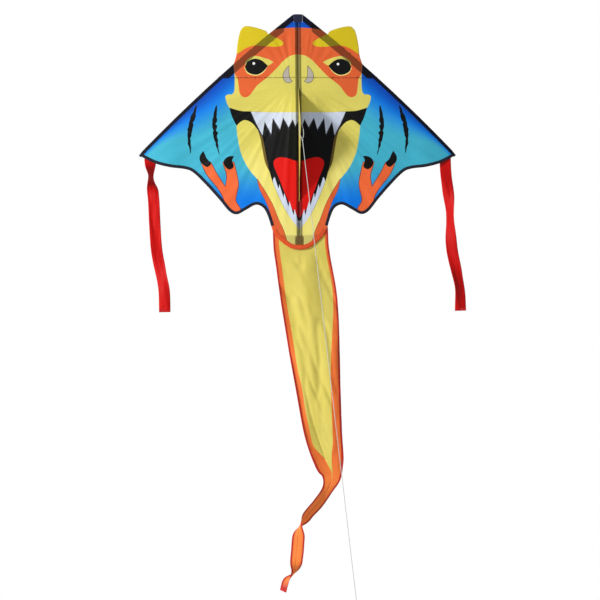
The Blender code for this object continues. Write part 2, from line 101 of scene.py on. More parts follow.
def oval(x, z, radius, count=14):
    return [Vector((x + radius * math.cos(math.tau * k / count),
                    z + radius * math.sin(math.tau * k / count))) for k in range(count)]


def spread(low, high, count):
    """Evenly spaced values from low to high, over count steps."""
    return [low + (high - low) * k / count for k in range(count + 1)]


def edge_z(x):
    """Height of the leading edge at distance x from the centre line."""
    d = x - NOSE_X
    return NOSE_Z - EDGE_SLOPE * d - EDGE_BOW * d * d


def edge_tangent(x):
    return Vector((1.0, -EDGE_SLOPE - 2 * EDGE_BOW * (x - NOSE_X))).normalized()


def on_edge(start, end, count, below=0.0):
    """Points along the leading edge from one x to another, or so far below it."""
    return [Vector((x, edge_z(x) - below)) for x in spread(start, end, count)]


def inside_edge(x, inward):
    """A point square to the leading edge, so far inside it."""
    t = edge_tangent(x)
    return Vector((x, edge_z(x))) + Vector((t.y, -t.x)) * inward


def level(points, x):
    """Height of a left-to-right outline at x."""
    for (x0, z0), (x1, z1) in zip(points, points[1:]):
        if x <= x1:
            return z0 + (z1 - z0) * max(0.0, x - x0) / max(x1 - x0, 1e-9)
    return points[-1][1]


def rise(low, high, value):
    """0 below low, 1 above high, and a smooth step between."""
    t = min(1.0, max(0.0, (value - low) / (high - low)))
    return t * t * (3 - 2 * t)


def inside(point, polygon):
    x, z = point[0], point[1]
    hit = False
    for (x0, z0), (x1, z1) in zip(polygon, polygon[1:] + polygon[:1]):
        if (z0 > z) != (z1 > z) and x < x0 + (x1 - x0) * (z - z0) / (z1 - z0):
            hit = not hit
    return hit


def corners_of(outline):
    """The lowest and highest corners of the box round an outline."""
    return (Vector((min(p.x for p in outline), min(p.y for p in outline))),
            Vector((max(p.x for p in outline), max(p.y for p in outline))))


def area_of(polygon):
    pairs = zip(polygon, polygon[1:] + polygon[:1])
    return abs(sum(a[0] * b[1] - b[0] * a[1] for a, b in pairs)) / 2


HORN = smooth([(0.107, 0.336), (0.116, 0.348), (0.150, 0.360), (0.184, 0.366), (0.200, 0.358),
               (0.209, 0.340), (0.217, 0.301), (0.221, 0.262), (0.230, 0.2315)], 4)
TRAILING = smooth([(0.0985, -0.360), (0.112, -0.316), (0.128, -0.286), (0.155, -0.275),
                   (0.190, -0.293), (0.222, -0.309), (0.250, -0.297), (0.285, -0.254),
                   (0.330, -0.203), (0.375, -0.158), (0.405, -0.144), (0.460, -0.137),
                   (0.510, -0.124), (0.550, -0.1045), (TIP_X, edge_z(TIP_X) - 0.0115)], 6)
JAW = smooth([(0.0006, -0.4365), (0.030, -0.432), (0.058, -0.414), (0.085, -0.388),
              (0.0985, -0.362)], 6)


def sail_outline():
    """Cut edge of one sail half, counter-clockwise, with room for the nose and foot patches."""
    notch, notch_top = END_PATCH_HALF + 0.0005, END_PATCH_TOP + 0.0006
    patch_edge, patch_low = PATCH_HALF + 0.0004, PATCH_BOTTOM - 0.0006
    foot = straight((SEAM_X, notch_top), (notch, notch_top), (notch, level(JAW, notch)))
    foot += [p for p in JAW if p.x > notch + 0.002]
    edge = on_edge(TIP_X, HORN[-1].x, 44)
    nose = on_edge(HORN[0].x, patch_edge, 10)
    top = straight((patch_edge, patch_low), (SEAM_X, patch_low))
    return foot + TRAILING[1:] + edge[1:-1] + list(reversed(HORN)) + nose[1:] + top


# ---------------------------------------------------------------- colours
def colour(red, green, blue):
    """Linear colour from display values of 0 to 255."""
    out = []
    for value in (red, green, blue):
        c = value / 255
        out.append(c / 12.92 if c <= 0.04045 else ((c + 0.055) / 1.055) ** 2.4)
    return tuple(out)


def mix(a, b, t):
    return tuple(u + (v - u) * t for u, v in zip(a, b))


YELLOW = colour(230, 220, 112)
PALE_YELLOW = colour(250, 240, 150)
HORN_YELLOW = colour(224, 204, 34)
ORANGE = colour(234, 110, 58)
TOE_ORANGE = colour(246, 118, 64)
SKY = colour(74, 192, 218)
MID_BLUE = colour(0, 134, 240)
DEEP_BLUE = colour(4, 78, 196)
NAVY = colour(3, 8, 34)
BLACK = colour(10, 11, 14)
TONGUE_RED = colour(228, 16, 10)
TOOTH = colour(216, 224, 240)
NOSTRIL_GREY = colour(196, 188, 176)
RIBBON_RED = colour(196, 3, 2)
TAIL_ORANGE = colour(242, 128, 62)
TAIL_RED = colour(214, 50, 38)
TAIL_YELLOW = colour(222, 208, 98)
DARK_LINE = colour(96, 24, 30)
BROWN = colour(92, 70, 22)


# ---------------------------------------------------------------- material graphs
class Graph:
    """A node material, built by naming each node's inputs."""

    def __init__(self, name):
        self.material = bpy.data.materials.new(name)
        self.material.use_nodes = True
        self.tree = self.material.node_tree
        self.tree.nodes.clear()
        self.place = self.node("ShaderNodeTexCoord").outputs["Object"]

    def node(self, kind, inputs=None, **settings):
        made = self.tree.nodes.new(kind)
        for key, value in settings.items():
            setattr(made, key, value)
        for key, value in (inputs or {}).items():
            if isinstance(value, bpy.types.NodeSocket):
                self.tree.links.new(value, made.inputs[key])
            else:
                made.inputs[key].default_value = value
        return made

    def math(self, operation, a, b=0.0):
        return self.node("ShaderNodeMath", {0: a, 1: b}, operation=operation).outputs[0]

    def noise(self, scale, detail=3.0, stretch=(1.0, 1.0, 1.0)):
        mapped = self.node("ShaderNodeMapping", {"Vector": self.place, "Scale": stretch})
        made = self.node("ShaderNodeTexNoise", {"Vector": mapped.outputs[0], "Scale": scale,
                                                "Detail": detail})
        return made.outputs["Fac"]

    def blend(self, factor, a, b, blend_type="MIX"):
        tones = [t if isinstance(t, bpy.types.NodeSocket) else (*t, 1.0) for t in (a, b)]
        made = self.node("ShaderNodeMix", {0: factor, 6: tones[0], 7: tones[1]},
                         data_type="RGBA", blend_type=blend_type)
        return made.outputs[2]

    def span(self, value, low, high):
        """The value from 0 to 1 spread over low to high."""
        made = self.node("ShaderNodeMapRange", {"Value": value, "To Min": low, "To Max": high})
        return made.outputs[0]

    def grid(self, axes, pitch, width):
        """1 on the lines of a square grid in two axes of the place, else 0."""
        parts = self.node("ShaderNodeSeparateXYZ", {"Vector": self.place}).outputs
        lines = []
        for axis in axes:
            cell = self.math("FRACT", self.math("DIVIDE", parts[axis], pitch))
            lines.append(self.math("LESS_THAN", cell, width / pitch))
        return self.math("MAXIMUM", *lines)

    def weave(self, axes, pitch):
        """Over-and-under height of a plain weave in two axes of the place."""
        parts = self.node("ShaderNodeSeparateXYZ", {"Vector": self.place}).outputs
        waves = [self.math("SINE", self.math("MULTIPLY", parts[axis], math.tau / pitch))
                 for axis in axes]
        return self.math("MULTIPLY", *waves)

    def bump(self, height, strength, distance):
        made = self.node("ShaderNodeBump", {"Height": height, "Strength": strength,
                                            "Distance": distance})
        return made.outputs[0]

    def surface(self, base, roughness, normal, metallic=0.0, sheen=0.0, coat=0.0, through=0.0,
                specular=0.4):
        shader = self.node("ShaderNodeBsdfPrincipled", {
            "Base Color": base, "Roughness": roughness, "Normal": normal,
            "Metallic": metallic, "Sheen Weight": sheen, "Coat Weight": coat,
            "Specular IOR Level": specular})
        out = shader.outputs[0]
        if through:
            light = self.node("ShaderNodeBsdfTranslucent", {"Color": base, "Normal": normal})
            out = self.node("ShaderNodeMixShader", {0: through, 1: out,
                                                    2: light.outputs[0]}).outputs[0]
        self.node("ShaderNodeOutputMaterial", {"Surface": out})
        return self.material


def ripstop(name, axes=("X", "Z"), base=None, through=0.28):
    """Coated kite nylon: a fine weave, a grid of thicker threads and a faint crinkle."""
    g = Graph(name)
    if base is None:
        printed = g.node("ShaderNodeAttribute", attribute_name=PRINT).outputs["Color"]
    else:
        printed = g.blend(g.noise(14.0), base, tuple(1.15 * c for c in base))
    threads = g.grid(axes, 0.005, 0.0005)
    cloudy = g.span(g.noise(9.0, 4.0), 0.90, 1.07)
    shade = g.node("ShaderNodeCombineColor", {0: cloudy, 1: cloudy, 2: cloudy}).outputs[0]
    toned = g.blend(1.0, printed, shade, "MULTIPLY")
    lined = g.blend(g.math("MULTIPLY", threads, 0.6), toned, (1.25, 1.25, 1.25), "MULTIPLY")
    crinkle = g.math("MULTIPLY", g.noise(70.0, 5.0), 1.6)
    height = g.math("ADD", g.math("ADD", crinkle, threads),
                    g.math("MULTIPLY", g.weave(axes, 0.0007), 0.25))
    rough = g.span(g.noise(30.0), 0.42, 0.60)
    return g.surface(lined, rough, g.bump(height, 0.35, 0.0006), sheen=0.04, through=through,
                     specular=0.18)


def tape(name, base, axes=("X", "Z"), pitch=0.0011):
    """Woven polyester binding with a ribbed face, greyer worn patches and a painted highlight on
    the raised ribs.
    """
    g = Graph(name)
    ribs = g.weave(axes, pitch)
    worn = g.math("MULTIPLY", g.noise(55.0, 4.0), 0.45)
    toned = g.blend(worn, base, mix(base, (0.5, 0.5, 0.5), 0.06))
    # Painted highlight: the raised ribs are mixed a little towards white.
    rib_tops_painted_light = g.blend(g.span(ribs, 0.0, 0.25), toned, mix(base, (1.0, 1.0, 1.0), 0.05))
    rough = g.span(g.noise(40.0), 0.62, 0.82)
    height = g.math("ADD", ribs, g.math("MULTIPLY", worn, 0.6))
    return g.surface(rib_tops_painted_light, rough, g.bump(height, 0.6, 0.0004), sheen=0.06,
                     specular=0.2)


def solid(name, base, light, roughness, metallic=0.0, stretch=(1.0, 1.0, 1.0), scale=60.0,
          coat=0.0):
    """Moulded, drawn or plated material with grain and rubbed patches."""
    g = Graph(name)
    grain = g.noise(scale, 6.0, stretch)
    rubbed = g.span(g.noise(scale * 0.3), -0.25, 0.65)
    rubbed = g.node("ShaderNodeClamp", {"Value": rubbed}).outputs[0]
    base_mix = g.blend(g.math("MULTIPLY", rubbed, 0.6), base, light)
    rough = g.span(grain, roughness - 0.10, roughness + 0.12)
    return g.surface(base_mix, rough, g.bump(grain, 0.30, 0.0003), metallic, coat=coat)


def twisted(name, base, shade, pitch=0.0016):
    """Braided or twisted thread: slanting strands, with painted shade in the grooves between them.
    """
    g = Graph(name)
    parts = g.node("ShaderNodeSeparateXYZ", {"Vector": g.place}).outputs
    slant = g.math("ADD", g.math("ADD", parts["X"], parts["Y"]), parts["Z"])
    strand = g.math("SINE", g.math("MULTIPLY", slant, math.tau / pitch))
    fuzz = g.noise(400.0, 4.0)
    strands_and_painted_groove_shade = g.blend(g.span(strand, 0.25, 0.75), shade, base)
    height = g.math("ADD", strand, g.math("MULTIPLY", fuzz, 0.8))
    rough = g.span(fuzz, 0.62, 0.85)
    return g.surface(strands_and_painted_groove_shade, rough, g.bump(height, 0.6, 0.0004), sheen=0.2)


SAIL_CLOTH = ripstop("printed_ripstop")
RED_CLOTH = ripstop("red_ripstop", ("X", "Z"), RIBBON_RED, 0.14)
NAVY_TAPE = tape("navy_binding", NAVY)
NAVY_CLOTH = tape("navy_sleeve_cloth", colour(16, 24, 62), pitch=0.0009)
ORANGE_TAPE = tape("orange_binding", colour(224, 78, 22))
KEEL_TAPE = tape("keel_self_binding", colour(214, 200, 96), ("Y", "Z"))
RED_TAPE = tape("red_binding", colour(190, 20, 20))
BROWN_WEBBING = tape("brown_webbing", BROWN, pitch=0.0016)
NAVY_WEBBING = tape("navy_webbing", colour(12, 20, 54), pitch=0.0018)
ROD = solid("fibreglass_rod", colour(24, 24, 26), colour(62, 62, 66), 0.36,
            stretch=(1.0, 1.0, 0.08), coat=0.3)
VINYL = solid("black_vinyl", colour(18, 18, 20), colour(48, 48, 52), 0.52, scale=110.0)
BRASS = solid("blackened_brass", colour(54, 50, 46), colour(150, 130, 90), 0.34, 1.0,
              scale=160.0)
CORD = twisted("white_braid", colour(240, 240, 232), colour(170, 172, 176))
THREAD = twisted("sewing_thread", colour(40, 52, 96), colour(16, 20, 44), 0.0007)
RED_THREAD = twisted("red_sewing_thread", colour(206, 52, 40), colour(150, 26, 22), 0.0007)
PALE_THREAD = twisted("pale_sewing_thread", colour(236, 222, 150), colour(190, 150, 70), 0.0007)


# ---------------------------------------------------------------- pieces
# Cloth sewn to the spine: each entry gives another body, a first place and a second place, which
# the script reads but does not use; these pieces stay where they are built.
FOLDS = {"left_fold": ("left_wing", (-0.0115, SAIL_Y, 0.0), (-0.0230, SAIL_Y, 0.0)),
         "right_fold": ("right_wing", (0.0115, SAIL_Y, 0.0), (0.0230, SAIL_Y, 0.0)),
         "tail_fold": ("tail", (0.0, SAIL_Y, -0.3700), (0.0, SAIL_Y, -0.4020))}


def linked(name, data):
    """A new object in the scene for a mesh, curve, lamp or camera."""
    obj = bpy.data.objects.new(name, data)
    bpy.context.scene.collection.objects.link(obj)
    return obj


def place_piece(obj, surface, body, nodes):
    obj.data.materials.append(surface)
    if body in FOLDS:
        other, start, end = FOLDS[body]
        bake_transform(obj)
        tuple(start)
        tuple(end)
    else:
        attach(obj, body)
    if nodes:
        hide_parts(*nodes)
    return obj


def piece(name, bm, surface, body, nodes=(), sharp=50):
    bmesh.ops.recalc_face_normals(bm, faces=bm.faces[:])
    mesh = bpy.data.meshes.new(name)
    bm.to_mesh(mesh)
    bm.free()
    mesh.shade_smooth()
    mesh.set_sharp_from_angle(angle=math.radians(sharp))
    return place_piece(linked(name, mesh), surface, body, nodes)


def thicken(obj, thickness=CLOTH):
    shell = obj.modifiers.new("cloth_thickness", "SOLIDIFY")
    shell.thickness = thickness
    shell.offset = 0.0
    return obj


def skin(bm, rings, capped=True):
    """Adds a tube through closed rings of points, with flat ends if capped."""
    rows = [[bm.verts.new(p) for p in ring] for ring in rings]
    count = len(rows[0])
    for a, b in zip(rows, rows[1:]):
        for i in range(count):
            j = (i + 1) % count
            bm.faces.new((a[i], a[j], b[j], b[i]))
    if capped:
        bm.faces.new(rows[0])
        bm.faces.new(rows[-1])
    return rows


def walled_tube(bm, outer, inner, shut=False):
    """Adds a tube with a wall, open at both ends, or shut at its far end."""
    outer_rows = skin(bm, outer, capped=False)
    inner_rows = skin(bm, inner, capped=False)
    rims = [(outer_rows[0], inner_rows[0])]
    if shut:
        bm.faces.new(outer_rows[-1])
        bm.faces.new(inner_rows[-1])
    else:
        rims.append((outer_rows[-1], inner_rows[-1]))
    for a, b in rims:
        for i in range(len(a)):
            j = (i + 1) % len(a)
            bm.faces.new((a[i], a[j], b[j], b[i]))


def sheet_of(bm, rows):
    """Adds an open surface through rows of points."""
    grid = [[bm.verts.new(p) for p in row] for row in rows]
    return [[bm.faces.new((a[k], a[k + 1], b[k + 1], b[k])) for k in range(len(a) - 1)]
            for a, b in zip(grid, grid[1:])]


def directions(points, closed=False):
    """Unit direction at each point of a line."""
    last = len(points) - 1
    out = []
    for i in range(len(points)):
        if closed:
            step = points[(i + 1) % len(points)] - points[i - 1]
        else:
            step = points[min(i + 1, last)] - points[max(i - 1, 0)]
        out.append(step.normalized())
    return out


def tube_rings(points, radius, count=8, closed=False):
    """Rings round a line, each turned as little as it can be from the one before."""
    rings = []
    side = None
    for p, run in zip(points, directions(points, closed)):
        if side is None:
            side = run.orthogonal().normalized()
        side = (side - run * side.dot(run)).normalized()
        other = run.cross(side)
        rings.append([p + (side * math.cos(math.tau * k / count)
                           + other * math.sin(math.tau * k / count)) * radius
                      for k in range(count)])
    return rings


def add_stitches(bm, line, pitch=0.0040, share=0.66, radius=0.00032):
    """A row of short raised threads along a line."""
    run = 0.0
    due = pitch / 2
    for a, b in zip(line, line[1:]):
        length = (b - a).length
        while due < run + length:
            middle = a.lerp(b, (due - run) / length)
            half = (b - a).normalized() * pitch * share / 2
            ends = [middle - half, middle - half * 0.6, middle + half * 0.6, middle + half]
            sizes = [0.35, 1.0, 1.0, 0.35]
            rings = [tube_rings([p, p + half], radius * s, 5)[0] for p, s in zip(ends, sizes)]
            skin(bm, rings)
            due += pitch
        run += length


# ---------------------------------------------------------------- camera, light and floor
FLOOR_R, FLOOR_Z = 20.0, -3.3
FILL_LIGHT = 0.42


def studio():
    """A white backdrop for the camera, and a soft cool fill that lights the kite."""
    world = bpy.data.worlds.new("studio")
    bpy.context.scene.world = world
    world.use_nodes = True
    tree = world.node_tree
    tree.nodes.clear()
    rays = tree.nodes.new("ShaderNodeLightPath")
    choose = tree.nodes.new("ShaderNodeMixShader")
    out = tree.nodes.new("ShaderNodeOutputWorld")
    tree.links.new(rays.outputs["Is Camera Ray"], choose.inputs[0])
    for socket, tint, strength in ((1, (0.94, 0.97, 1.0), FILL_LIGHT), (2, (1.0, 1.0, 1.0), 1.0)):
        glow = tree.nodes.new("ShaderNodeBackground")
        glow.inputs["Color"].default_value = (*tint, 1.0)
        glow.inputs["Strength"].default_value = strength
        tree.links.new(glow.outputs[0], choose.inputs[socket])
    tree.links.new(choose.outputs[0], out.inputs["Surface"])
    bpy.context.scene.view_settings.view_transform = "Standard"


def area_light(name, place, target, size, power, tint):
    data = bpy.data.lights.new(name, "AREA")
    data.size = size
    data.energy = power
    data.color = tint
    lamp = linked(name, data)
    lamp.location = place
    aim = Vector(target) - Vector(place)
    lamp.rotation_euler = aim.to_track_quat("-Z", "Y").to_euler()


def lights():
    """A small sun-like key from the left front, and a broad glow from behind."""
    middle = (0.0, 0.1, -0.4)
    area_light("key", (-6.1, -4.4, 1.7), middle, 0.9, 640.0, (1.0, 0.98, 0.93))
    area_light("back_glow", (-2.4, 5.0, 2.6), middle, 3.0, 180.0, (1.0, 0.99, 0.96))


def floor():
    bm = bmesh.new()
    bmesh.ops.create_circle(bm, cap_ends=True, segments=96, radius=FLOOR_R)
    mesh = bpy.data.meshes.new("floor")
    bm.to_mesh(mesh)
    bm.free()
    ground = linked("floor", mesh)
    ground.location = (0.0, 0.0, FLOOR_Z)
    g = Graph("pale_floor")
    tone = g.blend(g.noise(1.5), colour(226, 226, 224), colour(234, 234, 232))
    ground.data.materials.append(g.surface(tone, 0.8, g.bump(g.noise(40.0), 0.1, 0.001)))


def camera():
    target = Vector((-0.001, 0.10, -0.618))
    distance, turned, below, roll = 9.0, math.radians(3.5), math.radians(3.0), -0.45
    towards = Vector((-math.sin(turned) * math.cos(below), -math.cos(turned) * math.cos(below),
                      -math.sin(below)))
    data = bpy.data.cameras.new("camera")
    data.sensor_width = 36.0
    data.lens = 151.8
    data.clip_end = 200.0
    eye = linked("camera", data)
    look = (-towards).to_track_quat("-Z", "Y").to_matrix()
    spin = Matrix.Rotation(math.radians(roll), 3, "Z")
    eye.matrix_world = Matrix.Translation(target + towards * distance) @ (look @ spin).to_4x4()
    bpy.context.scene.camera = eye


# ---------------------------------------------------------------- flying line
def slim_loop(top, drop, half, count=48):
    """Points round a long loop that hangs from its top, in the XZ plane."""
    out = Vector((math.cos(LINE_LEAN), 0.0, math.sin(LINE_LEAN)))
    turns = [math.tau * k / count for k in range(count)]
    return [top + DOWN_LINE * drop * (0.5 - 0.5 * math.cos(a)) + out * half * math.sin(a)
            for a in turns]


def loop_piece(name, top, drop, half, node):
    bm = bmesh.new()
    points = slim_loop(top, drop, half)
    rings = tube_rings(points + points[:1], LINE_R, 10)
    rows = skin(bm, rings[:-1], capped=False)
    shift = min(range(10), key=lambda s: sum((rings[-2][(i + s) % 10] - rings[0][i]).length
                                             for i in range(10)))
    for i in range(10):
        a, b = rows[-1][(i + shift) % 10], rows[-1][(i + 1 + shift) % 10]
        bm.faces.new((a, b, rows[0][(i + 1) % 10], rows[0][i]))
    return piece(name, bm, CORD, "line", [node])


def knot_piece(name, middle, node):
    """An overhand knot drawn tight: three crossing turns of the cord."""
    sideways = Vector((math.cos(LINE_LEAN), 0.0, math.sin(LINE_LEAN)))
    depth = Vector((0.0, 1.0, 0.0))
    points = []
    count = 60
    for k in range(count):
        a = math.tau * k / count
        reach = 0.00135 + 0.00065 * math.cos(3 * a)
        points.append(middle + sideways * reach * math.cos(2 * a)
                      + depth * reach * math.sin(2 * a)
                      - DOWN_LINE * 0.0019 * math.sin(3 * a))
    bm = bmesh.new()
    rings = tube_rings(points + points[:1], 0.00105, 8)
    skin(bm, rings)
    return piece(name, bm, CORD, "line", [node])


def flying_line():
    loop = loop_piece("tow_line_loop", Vector((0.0, 0.0, 0.0)), LOOP_DROP, LOOP_HALF,
                      "tow_loop")
    half_knot = 1.3 * KNOT_R
    knot_at = DOWN_LINE * (LOOP_DROP + LINE_R + half_knot + GAP)
    start = knot_at        # the cord runs into the middle of its knot
    end = knot_at + DOWN_LINE * (half_knot + GAP + LINE_LENGTH)
    data = bpy.data.curves.new("flying_cord", "CURVE")
    data.dimensions = "3D"
    data.bevel_depth = LINE_R
    data.bevel_resolution = 3
    data.use_fill_caps = True
    spline = data.splines.new("POLY")
    spline.points.add(39)
    for k, p in enumerate(spline.points):
        p.co = (*start.lerp(end, k / 39), 1.0)
    cord = place_piece(linked("flying_cord", data), CORD, "line", ["flying_line"])
    far_knot = end + DOWN_LINE * (half_knot + GAP)
    loop_top = far_knot + DOWN_LINE * (half_knot + GAP + LINE_R)
    others = [loop, knot_piece("tow_line_knot", knot_at, "tow_knot"),
              knot_piece("line_hand_knot", far_knot, "line_end_knot"),
              loop_piece("line_hand_loop", loop_top, 0.036, 0.009, "line_end_loop")]


studio()
lights()
floor()
camera()
flying_line()


# ---------------------------------------------------------------- printed art and painted see-through shade, on one half
def zigzag(tips, notches):
    """Teeth: a point for each tip with the notch after it."""
    out = []
    for tip, notch in zip(tips, notches):
        out += straight(tip, notch)
    return out


CROWN = smooth([(0.0, 0.360), (0.045, 0.358), (0.085, 0.351), (0.112, 0.337)])
OUTSIDE = straight((0.120, 0.420), (0.270, 0.420))
JAW_OUTER = smooth([(0.222, 0.009), (0.218, -0.032), (0.206, -0.090), (0.181, -0.143),
                    (0.149, -0.183)])
STRIPE_OUTER = smooth([(0.149, -0.183), (0.139, -0.222), (0.116, -0.270), (0.100, -0.320),
                       (0.101, -0.345), (0.110, -0.372)])
STRIPE_INNER = smooth([(0.040, -0.436), (0.046, -0.405), (0.058, -0.366), (0.075, -0.328),
                       (0.095, -0.276), (0.120, -0.229), (0.149, -0.183)])
FACE = (CROWN + OUTSIDE
        + smooth([(0.232, 0.236), (0.228, 0.190), (0.229, 0.135), (0.238, 0.120)])
        + smooth([(0.238, 0.120), (0.252, 0.120), (0.261, 0.112), (0.256, 0.090),
                  (0.247, 0.073)])
        + JAW_OUTER + STRIPE_OUTER + straight((0.110, -0.450), (0.0, -0.450)))
FOREHEAD = (CROWN + OUTSIDE
            + smooth([(0.231, 0.236), (0.227, 0.195), (0.217, 0.175), (0.213, 0.147),
                      (0.208, 0.120), (0.192, 0.110), (0.176, 0.116), (0.160, 0.135),
                      (0.145, 0.154), (0.107, 0.184), (0.075, 0.216), (0.050, 0.243),
                      (0.025, 0.259), (0.0, 0.263)]))
HORN_PATCH = (smooth([(0.236, 0.262), (0.215, 0.268), (0.189, 0.285), (0.155, 0.296),
                      (0.118, 0.293), (0.080, 0.291), (0.058, 0.296), (0.053, 0.306),
                      (0.066, 0.317), (0.090, 0.329), (0.116, 0.346)]) + OUTSIDE)
BROW = (smooth([(0.190, 0.236), (0.174, 0.251), (0.152, 0.258), (0.112, 0.248), (0.088, 0.236)])
        + smooth([(0.088, 0.236), (0.108, 0.223), (0.150, 0.215), (0.186, 0.218), (0.190, 0.236)]))
EYE = smooth([(0.108, 0.222), (0.130, 0.241), (0.156, 0.248), (0.180, 0.238), (0.190, 0.218),
              (0.180, 0.199), (0.152, 0.190), (0.128, 0.200), (0.108, 0.222)])
LOWER_LID = smooth([(0.108, 0.221), (0.127, 0.197), (0.152, 0.187), (0.182, 0.196),
                    (0.193, 0.219), (0.180, 0.205), (0.152, 0.193), (0.128, 0.202),
                    (0.108, 0.221)])
NOSTRIL = (smooth([(0.034, 0.222), (0.046, 0.207), (0.054, 0.190), (0.050, 0.170),
                   (0.036, 0.161), (0.022, 0.167)])
           + smooth([(0.022, 0.167), (0.031, 0.178), (0.034, 0.197), (0.034, 0.222)]))
MOUTH = (straight((0.0, 0.055)) + smooth([(0.0, 0.055), (0.090, 0.056), (0.172, 0.060),
                                          (0.206, 0.062), (0.247, 0.073)])
         + smooth([(0.247, 0.073), (0.237, 0.040), (0.222, 0.009)])
         + smooth([(0.222, 0.009), (0.205, 0.024), (0.188, 0.029), (0.166, 0.018),
                   (0.145, -0.008), (0.129, -0.035), (0.120, -0.080), (0.112, -0.125),
                   (0.100, -0.175), (0.090, -0.205), (0.058, -0.280), (0.028, -0.330),
                   (0.0, -0.366)]))
TONGUE = smooth([(0.0, -0.120), (0.014, -0.119), (0.040, -0.110), (0.070, -0.106),
                 (0.089, -0.118), (0.088, -0.140), (0.072, -0.180), (0.055, -0.225),
                 (0.029, -0.285), (0.0, -0.325)])
UPPER_TEETH = (straight((0.0, 0.055), (0.090, 0.056), (0.170, 0.059), (0.150, 0.014))
               + zigzag([(0.129, -0.026), (0.098, -0.022), (0.067, -0.006), (0.036, 0.002),
                         (0.012, 0.006)],
                        [(0.121, 0.024), (0.092, 0.037), (0.055, 0.037), (0.021, 0.030),
                         (0.0, 0.026)]))
UPPER_SHADE = (straight((0.0, 0.047), (0.090, 0.046), (0.168, 0.048), (0.150, 0.006))
               + zigzag([(0.131, -0.037), (0.099, -0.032), (0.068, -0.015), (0.037, -0.006),
                         (0.012, -0.002)],
                        [(0.121, 0.016), (0.092, 0.029), (0.055, 0.029), (0.021, 0.023),
                         (0.0, 0.020)]))
LOWER_TEETH = (smooth([(0.0, -0.366), (0.028, -0.330), (0.058, -0.278), (0.090, -0.203),
                       (0.093, -0.185)])
               + zigzag([(0.087, -0.176), (0.070, -0.203), (0.053, -0.234), (0.035, -0.263),
                         (0.017, -0.292)],
                        [(0.074, -0.218), (0.056, -0.252), (0.039, -0.284), (0.021, -0.314),
                         (0.005, -0.336)]) + straight((0.0, -0.332)))
JAW_CREASE = (smooth([(0.145, -0.008), (0.129, -0.035), (0.120, -0.080), (0.112, -0.125),
                      (0.104, -0.160)])
              + smooth([(0.104, -0.160), (0.120, -0.125), (0.129, -0.080), (0.137, -0.036),
                        (0.145, -0.008)]))
STRIPE = STRIPE_OUTER + STRIPE_INNER
TOES = (smooth([(0.348, -0.124), (0.327, -0.167), (0.293, -0.210), (0.272, -0.245),
                (0.264, -0.276), (0.246, -0.315)], 4)
        + smooth([(0.206, -0.315), (0.210, -0.290), (0.225, -0.265), (0.226, -0.248),
                  (0.217, -0.206), (0.220, -0.175), (0.232, -0.122)], 4)
        + smooth([(0.272, -0.122), (0.259, -0.160), (0.258, -0.185), (0.263, -0.211)], 4)
        + smooth([(0.279, -0.186), (0.298, -0.155), (0.314, -0.122)], 4))
OUTER_CLAW = smooth([(0.341, -0.080), (0.353, -0.098), (0.352, -0.118), (0.330, -0.138),
                     (0.316, -0.131), (0.315, -0.122), (0.328, -0.108), (0.334, -0.094),
                     (0.341, -0.080)], 4)
INNER_CLAW = smooth([(0.231, -0.100), (0.250, -0.101), (0.266, -0.113), (0.268, -0.130),
                     (0.252, -0.147), (0.236, -0.143), (0.233, -0.132), (0.238, -0.116),
                     (0.231, -0.100)], 4)


def scratch(spine, width, seed):
    """Ragged claw mark: a tapering band round a bent line, with uneven edges."""
    line = smooth(spine, 5)
    left, right = [], []
    for i, p in enumerate(line):
        t = i / (len(line) - 1)
        fat = width * max(0.06, math.sin(math.pi * t ** 0.85)) ** 0.7
        ragged = 0.5 * fat * noise.noise(Vector((t * 14.0, seed, 0.0)))
        left.append(Vector((p[0] - fat / 2 - ragged, p[1])))
        ragged = 0.5 * fat * noise.noise(Vector((t * 17.0, seed + 40.0, 0.0)))
        right.append(Vector((p[0] + fat / 2 + ragged, p[1])))
    return left + list(reversed(right))


OUTER_SCRATCH = scratch([(0.364, 0.082), (0.376, 0.045), (0.386, 0.005), (0.391, -0.035),
                         (0.386, -0.088)], 0.0168, 3.0)
INNER_SCRATCH = scratch([(0.293, 0.082), (0.299, 0.040), (0.300, 0.000), (0.295, -0.042),
                         (0.284, -0.094)], 0.0156, 7.0)


def swollen(outline, by):
    """The outline pushed outwards, for a thin dark line round a shape."""
    turning = sum(a[0] * b[1] - b[0] * a[1] for a, b in zip(outline, outline[1:] + outline[:1]))
    out = []
    for p, run in zip(outline, directions(outline, closed=True)):
        out.append(p + Vector((run.y, -run.x)) * math.copysign(by, turning))
    return out


def blue(x, z):
    """Sky print: deep along the leading edge, pale in the middle, bright at the lower edge."""
    in_from_edge = (edge_z(x) - z) * 0.77
    deep = in_from_edge / (1.0 - 0.80 * rise(0.26, 0.54, x))
    tone = mix(DEEP_BLUE, MID_BLUE, rise(0.01, 0.08, deep))
    tone = mix(tone, SKY, rise(0.045, 0.15, deep))
    lower = rise(0.12, 0.27, -z)
    close = 1.0 - rise(0.0, 0.10, x - 0.30)
    return mix(tone, MID_BLUE, lower * (0.35 + 0.65 * close))


def yellow(x, z):
    pale = rise(0.02, 0.20, -z) * rise(0.05, 0.16, x + 0.12 * rise(0.2, 0.4, -z))
    return mix(YELLOW, PALE_YELLOW, 0.75 * pale)


def flat(tone):
    return lambda x, z: tone


